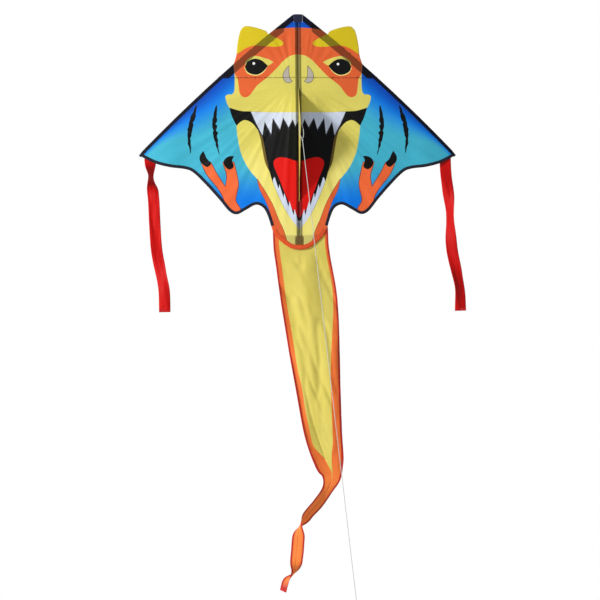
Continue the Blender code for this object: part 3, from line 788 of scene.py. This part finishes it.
def art():
    """The print from back to front: (outline, colour at a place)."""
    return [(FACE, yellow), (FOREHEAD, flat(ORANGE)), (HORN_PATCH, flat(HORN_YELLOW)),
            (BROW, flat(YELLOW)), (LOWER_LID, flat(PALE_YELLOW)), (EYE, flat(BLACK)),
            (swollen(NOSTRIL, 0.0016), flat(colour(70, 60, 40))), (NOSTRIL, flat(NOSTRIL_GREY)),
            (MOUTH, flat(BLACK)), (TONGUE, flat(TONGUE_RED)),
            (UPPER_SHADE, flat(colour(58, 60, 74))), (UPPER_TEETH, flat(TOOTH)),
            (LOWER_TEETH, flat(TOOTH)), (JAW_CREASE, flat(colour(120, 100, 40))),
            (swollen(STRIPE, 0.0012), flat(DARK_LINE)), (STRIPE, flat(ORANGE)),
            (swollen(TOES, 0.0022), flat(DARK_LINE)), (TOES, flat(TOE_ORANGE)),
            (OUTER_CLAW, flat(BLACK)), (INNER_CLAW, flat(BLACK)),
            (OUTER_SCRATCH, flat(BLACK)), (INNER_SCRATCH, flat(BLACK))]


GLINTS = {-1: (0.159, 0.231), 1: (0.143, 0.229)}
GLINT_R = 0.0048
GLINT_TONE = (0.9, 0.9, 0.9)
# The bands along the edge are where painted shade of the sleeves behind the cloth goes.
UPPER_BAND, NOSE_BAND, LOWER_BAND = 0.0275, 0.0190, 0.0135   # dark bands at the edge
EDGE_LEAN = 0.77          # a drop from the edge times this is the distance square to it
NOSE_BAND_END, WINDOW_X, FACE_EDGE_X = 0.105, 0.262, 0.2305
SPREADER_SHADE_Z, SPREADER_SHADE_HALF = 0.180, 0.0018


def there_and_back(points):
    """An open line as an outline with nothing inside it."""
    return points + list(reversed(points[1:-1]))


def shade_lines():
    """Where the painted shade bands end, so that the mesh has edges along them."""
    lines = [straight((SPINE_SLEEVE_HALF, 0.40), (SPINE_SLEEVE_HALF, -0.40))]
    for low, high, wide in ((NOSE_X, NOSE_BAND_END, NOSE_BAND), (0.05, WINDOW_X, UPPER_BAND),
                            (FACE_EDGE_X, TIP_X - 0.004, LOWER_BAND)):
        lines.append(on_edge(low, high, 24, wide / EDGE_LEAN))
    lines.append(on_edge(HORN[0].x, HORN[-1].x, 16))
    for side in (-1, 1):
        z = SPREADER_SHADE_Z + side * SPREADER_SHADE_HALF
        lines.append(straight((SPINE_SLEEVE_HALF, z), (WINDOW_X, z)))
    return [there_and_back(line) for line in lines]


def painted_see_through_shade(x, z):
    """Painted shade: how much the sleeves and rods behind the sail, and the tail cloth behind the
    jaw, darken the light through it, multiplied into the print's colour.
    """
    painted_shade = 1.0
    inward = (edge_z(x) - z) * EDGE_LEAN
    if 0.05 < x < WINDOW_X and z > 0.19 and 0.0 <= inward < UPPER_BAND:
        painted_shade *= 0.36
    if x < SPINE_SLEEVE_HALF:
        painted_shade *= 0.34
    if SPINE_SLEEVE_HALF < x < WINDOW_X and abs(z - SPREADER_SHADE_Z) < SPREADER_SHADE_HALF:
        painted_shade *= 0.60
    if z < TAIL_Z:
        painted_shade *= 0.80
    return painted_shade


def sleeve_navy_and_painted_shade(x, z):
    """Partly painted shade: where the navy sleeves lie behind the blue parts of the print they are
    painted navy, as if seen dark through the cloth; along the lower edge the front of the folded
    sleeve is really navy.
    """
    inward = (edge_z(x) - z) * EDGE_LEAN
    wide = LOWER_BAND
    if x < NOSE_BAND_END:
        wide = NOSE_BAND
    elif z > SPREADER_Z:
        wide = UPPER_BAND
    if inward < wide and (x > FACE_EDGE_X or x < NOSE_BAND_END):
        return NAVY
    return None


def paint(x, z, pictures):
    """Colour of the sail at a place, with painted see-through shade multiplied in; a picture's
    lowest and highest corners are tried first.
    """
    tone = blue(x, z)
    on_face = False
    for outline, shade, low, high in pictures:
        if low.x <= x <= high.x and low.y <= z <= high.y and inside((x, z), outline):
            tone = shade(x, z)
            on_face = True
    if not on_face:
        tone = sleeve_navy_and_painted_shade(x, z) or tone
    return tuple(c * painted_see_through_shade(x, z) for c in tone)


# ---------------------------------------------------------------- the sail's surface
def billow(side, x, z):
    """How far the wind pushes the cloth back, held flat at the rods, seams and tail."""
    from_edge = rise(0.045, 0.26, edge_z(x) - z)
    across = rise(0.014, 0.13, x) * (1.0 - rise(0.40, 0.52, x))
    low = rise(-0.36, -0.22, z)
    rod = rise(0.03, 0.11, abs(z - SPREADER_Z)) if z > SPREADER_Z - 0.11 else 1.0
    held = from_edge * across * low * rod
    angle = math.atan2(z - 0.16, x - 0.02)
    reach = math.hypot(z - 0.16, x - 0.02)
    folds = noise.noise(Vector((angle * 7.0, reach * 1.6, 3.0 * side)))
    fine = noise.noise(Vector((angle * 19.0, reach * 3.0, 9.0 + side)))
    slack = noise.noise(Vector((x * 9.0, z * 5.0, 20.0 + side)))
    seam_pull = rise(0.010, 0.035, x) * rise(-0.40, -0.30, z) * rise(0.030, 0.075,
                                                                   edge_z(x) - z)
    crease = (folds * 0.0034 + fine * 0.0022 + slack * 0.0022) * seam_pull
    return 0.013 * held + crease * (1.0 - rise(0.47, 0.53, x)) * (0.25 + 0.75 * rod)


def sail_point(side, x, z, forward=0.0):
    """World point on a wing's cloth, or so far in front of it."""
    back = TIP_SWEEP * (x / HALF_SPAN) ** 2
    return Vector((side * x, SAIL_Y + back + billow(side, x, z) - forward, z))


def resampled(outline, spacing=0.004, closed=True):
    """The outline with extra points, none further apart than the spacing."""
    out = []
    following = outline[1:] + outline[:1] if closed else outline[1:]
    for a, b in zip(outline, following):
        count = max(1, math.ceil((b - a).length / spacing))
        out += [a.lerp(b, k / count) for k in range(count)]
    return out


def triangulated(outline, details, spacing):
    """Triangles filling an outline, with their edges along every detail's outline."""
    points, edges = [], []
    for loop in [outline] + details:
        dense = resampled(loop, spacing * 0.75)
        first = len(points)
        points += dense
        edges += [(first + i, first + (i + 1) % len(dense)) for i in range(len(dense))]
    low, high = corners_of(outline)
    rows = int((high.y - low.y) / (spacing * 0.866))
    for r in range(rows):
        z = low.y + r * spacing * 0.866
        x = low.x + (spacing / 2 if r % 2 else 0.0)
        while x < high.x:
            x += spacing
            if inside((x, z), outline):
                points.append(Vector((x, z)))
    result = delaunay_2d_cdt(points, edges, [], 0, 1e-5)
    places, triangles = result[0], result[2]
    kept = []
    for t in triangles:
        middle = sum((places[i] for i in t), Vector((0.0, 0.0))) / 3
        if inside(middle, outline):
            kept.append((t, middle))
    return places, kept


def coloured(name, places, faces, tones, surface, body, nodes):
    """A cloth piece from faces with a colour each; places no face uses are left out."""
    used = sorted({i for face in faces for i in face})
    place_of = {old: new for new, old in enumerate(used)}
    mesh = bpy.data.meshes.new(name)
    mesh.from_pydata([places[i] for i in used], [], [[place_of[i] for i in f] for f in faces])
    layer = mesh.color_attributes.new(PRINT, "FLOAT_COLOR", "CORNER")
    values = []
    for polygon, tone in zip(mesh.polygons, tones):
        values += [*tone, 1.0] * len(polygon.vertices)
    layer.data.foreach_set("color", values)
    mesh.shade_smooth()
    return place_piece(thicken(linked(name, mesh)), surface, body, nodes)


def along(points, side, across, forward):
    """A line beside a wing outline, in front of the cloth."""
    out = []
    for p, run in zip(points, directions(points)):
        q = p + Vector((-run.y, run.x)) * across
        out.append(sail_point(side, q.x, q.y, forward))
    return out


def folded_tape(name, side, points, width, surface, body, nodes, back=0.0012):
    """Binding folded over a cloth edge: front face, rounded fold and back face."""
    section = [(width, 0.0005), (width, 0.0011), (width * 0.55, 0.0014), (0.0006, 0.0012),
               (-0.0007, 0.0), (0.0006, -back), (width * 0.5, -back - 0.0001), (width, -back),
               (width, -0.0005), (0.0004, -0.0004), (0.0004, 0.0004)]
    dense = resampled(points, 0.004, closed=False) + [points[-1]]
    folds = [along(dense, side, across, forward) for across, forward in section]
    bm = bmesh.new()
    skin(bm, list(zip(*folds)))
    return piece(name, bm, surface, body, nodes)


def puckered_sleeve(name, rings_at, count, surface, body, nodes):
    """Sewn cloth tube: rings_at(t, swell) gives its section, a little uneven along it."""
    outer, inner = [], []
    for k in range(count + 1):
        swell = 0.00022 * math.sin(k * 1.9) + 0.00018 * math.sin(k * 0.7 + 1.0)
        outer.append(rings_at(k / count, swell))
        inner.append(rings_at(k / count, swell - SLEEVE_CLOTH))
    bm = bmesh.new()
    walled_tube(bm, outer, inner)
    return piece(name, bm, surface, body, nodes)


def oval_section(half_width, half_thick, swell, count=9):
    """Lens-like section of a flat sleeve with a rod in it, as (across, depth)."""
    flat_part = half_width - half_thick
    ring = []
    for sign, start in ((1, -90), (-1, 90)):
        for k in range(count):
            a = math.radians(start + 180 * k / (count - 1))
            ring.append((sign * flat_part + (half_thick + swell) * math.cos(a),
                         (half_thick + swell) * math.sin(a)))
    return ring


def edge_section(side, x, inward, section):
    """A section set square to the leading edge, behind the cloth."""
    ring = []
    for across, depth in section:
        p = inside_edge(x, inward + across)
        back = TIP_SWEEP * (p.x / HALF_SPAN) ** 2
        ring.append(Vector((side * p.x, SAIL_Y + back + SLEEVE_BACK + depth, p.y)))
    return ring


def leading_sleeve(word, side, part, run, half):
    def rings_at(t, swell):
        x = run[0] + (run[1] - run[0]) * t
        return edge_section(side, x, half + 0.0005,
                            oval_section(half, SLEEVE_HALF_THICK - 0.0003, swell))

    name = f"{word}_edge_sleeve_{part}"
    node = f"{word}_leading_sleeve_{part}"
    return puckered_sleeve(name, rings_at, 60, NAVY_CLOTH, f"{word}_wing", [node])


def wing_stitches(word, side):
    bm = bmesh.new()
    clear = 0.0013
    for line, inset in ((TRAILING[2:-2], 0.0022), (TRAILING[2:-2], 0.0082),
                        (JAW[1:-2], 0.0025), (JAW[1:-2], 0.0130)):
        add_stitches(bm, along(line, side, inset, clear))
    for run, inset in ((UPPER_RUN, 0.0265), (LOWER_RUN, 0.0165)):
        row = [inside_edge(x, inset) for x in spread(run[0] + 0.01, run[1], 59)]
        add_stitches(bm, [sail_point(side, p.x, p.y, 0.0004) for p in row])
    return piece(f"{word}_sail_stitching", bm, THREAD, f"{word}_wing")


def wing_pocket(word, side):
    """Webbing pocket folded over the rod's end, closed at the tip."""
    def rings_at(t, swell):
        x = POCKET_RUN[0] + (POCKET_RUN[1] - POCKET_RUN[0]) * t
        thin = 0.0036 - 0.0004 * rise(0.80, 1.0, t)
        narrow = rise(0.20, 1.0, t)
        return edge_section(side, x, 0.0090 - 0.0028 * narrow,
                            oval_section(0.0094 - 0.0046 * narrow, thin, swell * 0.4))

    bm = bmesh.new()
    outer = [rings_at(k / 12, 0.0) for k in range(13)]
    inner = [rings_at(k / 12, -WEBBING) for k in range(12)]
    walled_tube(bm, outer, inner, shut=True)
    return piece(f"{word}_tip_webbing", bm, NAVY_WEBBING, f"{word}_wing",
                 [f"{word}_wingtip_pocket"])


def sails():
    outline = sail_outline()
    pictures = [(shape, shade, *corners_of(shape)) for shape, shade in art()]
    details = [picture[0] for picture in pictures] + [oval(*g, GLINT_R) for g in GLINTS.values()]
    details += shade_lines()
    places, triangles = triangulated(outline, details, GRID)
    painted = [paint(m.x, m.y, pictures) for _, m in triangles]
    for word, side in (("left", -1), ("right", 1)):
        glint = Vector(GLINTS[side])
        tones = [GLINT_TONE if (m - glint).length < GLINT_R else tone
                 for (_, m), tone in zip(triangles, painted)]
        faces = [t if side > 0 else tuple(reversed(t)) for t, _ in triangles]
        spots = [sail_point(side, p.x, p.y) for p in places]
        cloth = coloured(f"{word}_sail_cloth", spots, faces, tones, SAIL_CLOTH,
                         f"{word}_fold", [f"{word}_sail"])
        body = f"{word}_wing"
        binding = folded_tape(f"{word}_edge_binding", side, TRAILING[1:-1], BINDING_WIDTH,
                              NAVY_TAPE, body, [f"{word}_trailing_binding"])
        hem = folded_tape(f"{word}_jaw_binding", side, JAW[:-1], HEM_WIDTH, ORANGE_TAPE,
                          f"{word}_fold", [f"{word}_jaw_hem"])
        rows = wing_stitches(word, side)
        leading_sleeve(word, side, "upper", UPPER_RUN, UPPER_HALF)
        leading_sleeve(word, side, "lower", LOWER_RUN, LOWER_HALF)
        wing_pocket(word, side)
        area_of(outline)


# ---------------------------------------------------------------- spine and patches
def spine_cover():
    def rings_at(t, swell):
        z = SPINE_SLEEVE_RUN[0] + (SPINE_SLEEVE_RUN[1] - SPINE_SLEEVE_RUN[0]) * t
        section = oval_section(SPINE_SLEEVE_HALF, 0.0036, swell)
        return [Vector((across, SAIL_Y + SPINE_BACK + depth, z)) for across, depth in section]

    puckered_sleeve("spine_cloth_sleeve", rings_at, 120, NAVY_CLOTH, "spine",
                    ["spine_sleeve"])


def patch(name, low, high, bulge, surface, node, thread):
    """Rounded square of webbing, slightly domed, with a stitched border and a cross."""
    bm = bmesh.new()
    half_x, half_z = (high[0] - low[0]) / 2, (high[2] - low[2]) / 2
    middle_x, middle_z = (high[0] + low[0]) / 2, (high[2] + low[2]) / 2

    def spot(u, v, y, dome):
        corner = 1.0 - 0.045 * (u * v) ** 4
        edge = max(abs(u), abs(v))
        return Vector((middle_x + u * half_x * corner, y + dome * (1.0 - edge ** 4),
                       middle_z + v * half_z * corner))

    steps = spread(-1.0, 1.0, 14)
    rim = ([(u, -1.0) for u in steps[:-1]] + [(1.0, v) for v in steps[:-1]]
           + [(-u, 1.0) for u in steps[:-1]] + [(-1.0, -v) for v in steps[:-1]])
    for y, dome in ((low[1] + bulge, -bulge), (high[1] - bulge, bulge)):
        sheet_of(bm, [[spot(u, v, y, dome) for v in steps] for u in steps])
    front = [spot(u, v, low[1] + bulge, 0.0) for u, v in rim]
    back = [spot(u, v, high[1] - bulge, 0.0) for u, v in rim]
    sheet_of(bm, [front + front[:1], back + back[:1]])
    bmesh.ops.remove_doubles(bm, verts=bm.verts[:], dist=0.00002)
    cover = piece(name, bm, surface, "spine", [node])
    seams = bmesh.new()
    border = [(-0.8, -0.8), (0.8, -0.8), (0.8, 0.8), (-0.8, 0.8), (-0.8, -0.8)]
    lines = [border, [(-0.8, -0.8), (0.8, 0.8)], [(0.8, -0.8), (-0.8, 0.8)]]
    for line in lines:
        dense = resampled(straight(*line), 0.15, closed=False) + straight(line[-1])
        add_stitches(seams, [spot(p.x, p.y, low[1] + bulge, -bulge) for p in dense], 0.0030)
    piece(f"{name}_stitching", seams, thread, "spine")
    return cover


def centre():
    spine_cover()
    patch("nose_webbing", (-PATCH_HALF, SAIL_Y - 0.0014, PATCH_BOTTOM),
          (PATCH_HALF, SAIL_Y + 0.0096, NOSE_Z), 0.0005, NAVY_WEBBING,
          "nose_patch", THREAD)
    patch("foot_webbing", (-END_PATCH_HALF, SAIL_Y - 0.0014, END_PATCH_LOW),
          (END_PATCH_HALF, SAIL_Y + 0.0020, END_PATCH_TOP), 0.0004, BROWN_WEBBING,
          "spine_end_patch", PALE_THREAD)


# ---------------------------------------------------------------- keel
KEEL_HOLE_R = 0.0043      # radius of the cloth's hole for the eyelet
GUSSET_BACK = (0.030, 0.032), (0.030, -0.050)   # rear corners of the doubled cloth


def keel_spot(p, aside=0.0):
    """A point of the keel's slightly slack cloth, or so far to one side of it."""
    slack = rise(0.0, 0.05, p.x - KEEL_POINT_Y) * rise(0.0, 0.02, KEEL_SEAM_Y - p.x)
    sway = 0.0011 * slack * noise.noise(Vector((p.x * 30.0, p.y * 14.0, 5.0)))
    return Vector((aside + sway, p.x, p.y))


def keel_sheet(corners):
    hole = oval(0.0, 0.0, KEEL_HOLE_R, 32)
    gusset = straight(GUSSET_BACK[0]) + corners[1:3] + straight(GUSSET_BACK[1])
    places, triangles = triangulated(corners, [hole, gusset], 0.005)
    kept = [(t, m) for t, m in triangles if not inside(m, hole)]
    # The doubled cloth at the eyelet is painted darker: painted shade, as two layers let less
    # light through.
    main, doubled_cloth_shade = colour(226, 214, 112), colour(206, 190, 84)
    tones = [doubled_cloth_shade if inside(m, gusset) else main for _, m in kept]
    printed = ripstop("keel_printed_ripstop", ("Y", "Z"))
    return coloured("keel_cloth", [keel_spot(p) for p in places], [t for t, _ in kept], tones,
                    printed, "keel", ["keel_panel"])


def keel():
    corners = straight((KEEL_SEAM_Y, KEEL_TOP), (KEEL_POINT_Y, 0.003), (KEEL_POINT_Y, -0.003),
                       (KEEL_SEAM_Y, KEEL_LOW))
    cloth = keel_sheet(corners)
    middle = Vector((KEEL_SEAM_Y, 0.0))
    edge = resampled(corners, 0.006, closed=False)[:-1] + [corners[-1]]
    edge = [(p, (middle - p).normalized()) for p in edge if p.x <= KEEL_SEAM_Y + 1e-6]
    section = ((0.0045, -0.0006), (0.0045, -0.0010), (0.0022, -0.0013), (0.0001, -0.0011),
               (0.0001, -0.0005))
    bm = bmesh.new()
    skin(bm, [[keel_spot(p + across * inward, aside) for inward, aside in section]
              for p, across in edge])
    tape_piece = piece("keel_binding", bm, KEEL_TAPE, "keel",
                       ["keel_edge_tape"])
    seams = bmesh.new()
    add_stitches(seams, [keel_spot(p + across * 0.0032, -0.0013) for p, across in edge[1:-1]])
    rows = piece("keel_stitching", seams, PALE_THREAD, "keel")
    area_of(corners)


# ---------------------------------------------------------------- hanging tail and streamers
TAIL_LINE = [(0.003, 0.000, TAIL_Z, 0.098), (0.006, 0.002, -0.430, 0.098),
             (0.013, 0.004, -0.480, 0.098), (0.034, 0.009, -0.621, 0.100),
             (0.050, 0.000, -0.791, 0.090), (0.062, -0.009, -0.930, 0.079),
             (0.078, -0.010, -1.088, 0.067), (0.099, -0.004, -1.195, 0.052),
             (0.108, 0.004, -1.245, 0.034), (0.094, 0.010, -1.290, 0.024),
             (0.060, 0.012, -1.340, 0.024), (0.020, 0.006, -1.385, 0.022),
             (-0.008, -0.004, -1.436, 0.022), (-0.018, -0.008, -1.520, 0.022),
             (-0.027, -0.002, -1.575, 0.021), (-0.056, 0.003, -1.612, 0.021),
             (-0.068, 0.005, -1.650, 0.021)]
STREAMER_LINE = [(0.000, 0.000, -0.003), (0.003, 0.004, -0.060), (0.012, -0.003, -0.150),
                 (0.016, 0.002, -0.240), (0.022, 0.006, -0.330), (0.036, -0.001, -0.410),
                 (0.048, -0.003, -0.480), (0.050, 0.001, -0.554)]


def hanging(points):
    """For each point of a hanging line: the point, the way across, and the way to the back."""
    out = []
    for p, run in zip(points, directions(points)):
        across = run.cross(Vector((0.0, 1.0, 0.0))).normalized()
        out.append((p, across, across.cross(run).normalized()))
    return out


def ribbon_point(place, turn, across, depth):
    """A point across a hanging cloth that is turned about its own length."""
    p, sideways, back = place
    return (p + sideways * (across * math.cos(turn) - depth * math.sin(turn))
            + back * (across * math.sin(turn) + depth * math.cos(turn)))


def turned_by(z, twists):
    """Total turn of a ribbon at a height, each twist a half turn over its length."""
    return sum(math.pi * sign * rise(0.0, 1.0, (top - z) / (top - low))
               for top, low, sign in twists)


def swayed_by(z, sways):
    """Turn of a ribbon that leans away and comes back, each over its own length."""
    out = 0.0
    for top, low, amount in sways:
        t = min(1.0, max(0.0, (top - z) / (top - low)))
        out += amount * math.sin(math.pi * t) ** 2
    return out


def pinch(z, twists):
    """A ribbon narrows a little where it turns over."""
    out = 1.0
    for top, low, _ in twists:
        t = (top - z) / (top - low)
        if 0.0 < t < 1.0:
            out -= 0.12 * math.sin(math.pi * t) ** 2
    return out


TAIL_TWISTS = [(-1.250, -1.330, 0.20), (-1.385, -1.465, 0.74), (-1.535, -1.620, 0.72)]
TAIL_YELLOW_END = -1.262
END_HEM = 0.014           # depth of the hem at the foot of the tail and the streamers


def tail_folds(s, z, half):
    """Depth of the tail's long folds at a share s of its half width."""
    wide = rise(0.02, 0.09, half) * rise(0.050, 0.120, TAIL_Z - z)
    long_fold = 0.0065 * math.sin(2.4 * s + 3.1 * z) + 0.0030 * math.sin(5.2 * s - 7.0 * z + 1.0)
    slanting = noise.noise(Vector((s * 1.8 + z * 4.0, z * 2.2 - s, 30.0)))
    creased = 0.0060 * (1.0 - min(1.0, abs(slanting) * 4.0)) ** 2
    fine = 0.0034 * noise.noise(Vector((s * 3.2, z * 5.0, 11.0)))
    cross = 0.0016 * noise.noise(Vector((s * 5.0 + z * 8.0, z * 24.0, 4.0)))
    curl = 0.30 * half * (1.0 - s * s) * math.sin(turned_by(z, TAIL_TWISTS)) ** 2
    return (long_fold + creased + fine + cross) * wide + curl * rise(1.30, 1.38, -z)


def yellow_span(z, half):
    """The share of the half width where the tail's yellow middle starts and ends."""
    left = 0.020 + 0.006 * noise.noise(Vector((z * 9.0, 1.0, 0.0)))
    right = 0.012 + 0.022 * rise(0.55, 0.90, -z)
    close = rise(-1.20, -1.12, z)
    taper = rise(TAIL_YELLOW_END, -1.19, z)
    low, middle, high = -1.0 + left / half, 0.10, 1.0 - right / half
    width = max(0.12, (0.35 + 0.65 * close) * taper)
    return middle + (low - middle) * width, middle + (high - middle) * width


def tail_tone(s, z, half, spans):
    low, high = spans
    if low < s < high and z > TAIL_YELLOW_END:
        shade = 0.5 + 0.5 * noise.noise(Vector((s * 2.0, z * 6.0, 2.0)))
        return mix(TAIL_YELLOW, PALE_YELLOW, 0.35 * shade)
    rim = (1.0 - abs(s)) * half
    # Painted light: the orange is made brighter from 1.15 m to 1.30 m down, standing in for light
    # shining through the cloth; at the very foot it is mixed towards a dull pink.
    glow = mix(TAIL_ORANGE, colour(254, 150, 74), rise(1.15, 1.30, -z))
    glow = mix(glow, colour(206, 84, 92), rise(1.60, 1.65, -z))
    return mix(TAIL_RED, glow, rise(0.002, 0.009, rim))


def tail_spot(place, turn, s, half, z, forward=0.0):
    """A point of the tail; its top corners reach up behind the ends of the wings' bindings."""
    lift = 0.023 * abs(s) ** 6 * (1.0 - rise(0.0, 0.045, TAIL_Z - z))
    point = ribbon_point(place, turn, s * half, tail_folds(s, z, half) - forward)
    return point + Vector((0.0, 0.0, lift))


def stations_of(top, line, half_at, turn_at):
    """A hanging cloth's stations from its top: (place, half width, height, turn)."""
    places = hanging([top + Vector(p[:3]) for p in line])
    return [(place, half_at(p), p[2], turn_at(p[2])) for place, p in zip(places, line)]


def tail_sheet(stations):
    """The printed cloth, with its faces' edges along the border of the yellow."""
    points, faces, tones, shares = [], [], [], []
    for place, half, z, turn in stations:
        low, high = yellow_span(z, half)
        row = spread(-1.0, low, 5)[:-1] + spread(low, high, 20)[:-1] + spread(high, 1.0, 5)
        shares.append(row)
        points += [tail_spot(place, turn, s, half, z) for s in row]
    wide = len(shares[0])
    for i, (upper, lower) in enumerate(zip(shares, shares[1:])):
        half = stations[i][1]
        z = (stations[i][2] + stations[i + 1][2]) / 2
        for k in range(wide - 1):
            a = i * wide + k
            faces.append((a, a + 1, a + wide + 1, a + wide))
            s = (upper[k] + upper[k + 1] + lower[k] + lower[k + 1]) / 4
            tones.append(tail_tone(s, z, half, yellow_span(z, half)))
    return coloured("tail_cloth", points, faces, tones, ripstop("tail_ripstop"), "tail_fold",
                    ["tail_panel"])


def tail_edging(word, side, stations, seams):
    """Binding folded over one long edge, with its row of stitches added to the seams."""
    bm = bmesh.new()
    rings, stitch_line = [], []
    for place, half, z, turn in stations:
        ring = []
        for inward, forward in ((0.0045, 0.0004), (0.0045, 0.0008), (0.0020, 0.0010),
                                (-0.0004, 0.0007), (-0.0008, 0.0), (-0.0004, -0.0007),
                                (0.0045, -0.0008), (0.0045, -0.0004), (0.0002, 0.0)):
            ring.append(tail_spot(place, turn, side * (1.0 - inward / half), half, z, forward))
        rings.append(ring)
        stitch_line.append(tail_spot(place, turn, side * (1.0 - 0.0030 / half), half, z, 0.0010))
    skin(bm, rings)
    add_stitches(seams, stitch_line)
    return piece(f"tail_{word}_edging", bm, RED_TAPE, "tail_fold",
                 [f"tail_binding_{word}"])


def tail():
    seam = Vector((0.0, SAIL_Y + TAIL_BACK, 0.0))
    stations = stations_of(seam, smooth(TAIL_LINE, 20),
                           lambda p: p[3] * pinch(p[2], TAIL_TWISTS),
                           lambda z: turned_by(z, TAIL_TWISTS))
    cloth = tail_sheet(stations)
    seams = bmesh.new()
    edges = [tail_edging(word, side, stations[:-6], seams)
             for word, side in (("left", -1), ("right", 1))]
    edges.append(piece("tail_stitching", seams, RED_THREAD, "tail_fold"))
    edges.append(end_hem("tail_end_hem", stations, "tail", "tail_hem"))
    length, area = 0.0, 0.0
    for upper, lower in zip(stations, stations[1:]):
        step = (upper[0][0] - lower[0][0]).length
        length += step
        area += (upper[1] + lower[1]) * step


def end_hem(name, stations, body, node):
    """Folded hem across the foot of a hanging cloth, following its last stations."""
    last = stations[-1][0][0]
    bm = bmesh.new()
    for forward in (-1, 1):
        rings = []
        for place, half, _, turn in stations:
            if (place[0] - last).length > END_HEM:
                continue
            row = [half * 0.992 * (-1.0 + k / 6) for k in range(13)]
            inner, outer = [[ribbon_point(place, turn, s, forward * depth) for s in row]
                            for depth in (0.0004, 0.0010)]
            rings.append(inner + list(reversed(outer)))
        skin(bm, rings)
    return piece(name, bm, RED_TAPE, body, [node])


STREAMER_SWAYS = {"left": [(0.000, -0.140, 1.12), (-0.34, -0.52, -0.45)],
                  "right": [(-0.080, -0.340, -0.95), (-0.36, -0.56, 0.40)]}


def streamer(word, side):
    back = TIP_SWEEP * (STREAMER_X / HALF_SPAN) ** 2 + STREAMER_BACK
    top = Vector((side * STREAMER_X, SAIL_Y + back, STREAMER_Z))
    stations = stations_of(top, smooth(STREAMER_LINE, 14), lambda p: STREAMER_WIDTH / 2,
                           lambda z: swayed_by(z, STREAMER_SWAYS[word]))
    rows = []
    for place, half, z, turn in stations:
        loose = rise(0.025, 0.09, -z)
        curl = 0.30 * half * math.sin(turn) ** 2
        row = []
        for k in range(13):
            s = -1.0 + k / 6
            depth = loose * (0.0022 * math.sin(2.2 * s + 14.0 * z + side)
                             + 0.0020 * noise.noise(Vector((s * 2.0, z * 16.0, side + 6.0))))
            depth += curl * (1.0 - s * s)
            row.append(ribbon_point(place, turn, s * half, depth))
        rows.append(row)
    bm = bmesh.new()
    sheet_of(bm, rows)
    body = f"{word}_streamer"
    cloth = thicken(piece(f"{word}_streamer_cloth", bm, RED_CLOTH, body,
                          [f"{word}_streamer"]))
    hem = end_hem(f"{word}_streamer_end_hem", stations, body, f"{word}_streamer_hem")


# ---------------------------------------------------------------- hard parts from the frame
def hard_parts():
    finishes = {"spine_rod": ROD, "spreader_rod": ROD, "spine_top_cap": VINYL,
                "spreader_stop_left": VINYL, "spreader_stop_right": VINYL,
                "tow_grommet": BRASS}
    for word in ("left", "right"):
        finishes[f"{word}_leading_edge_rod"] = ROD
        finishes[f"{word}_rod_end_cap"] = VINYL
        finishes[f"{word}_spreader_clip"] = VINYL
    for name, finish in finishes.items():
        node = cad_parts[name]
        node.data.materials.clear()
        node.data.materials.append(finish)


sails()
centre()
keel()
tail()
streamer("left", -1)
streamer("right", 1)
hard_parts()
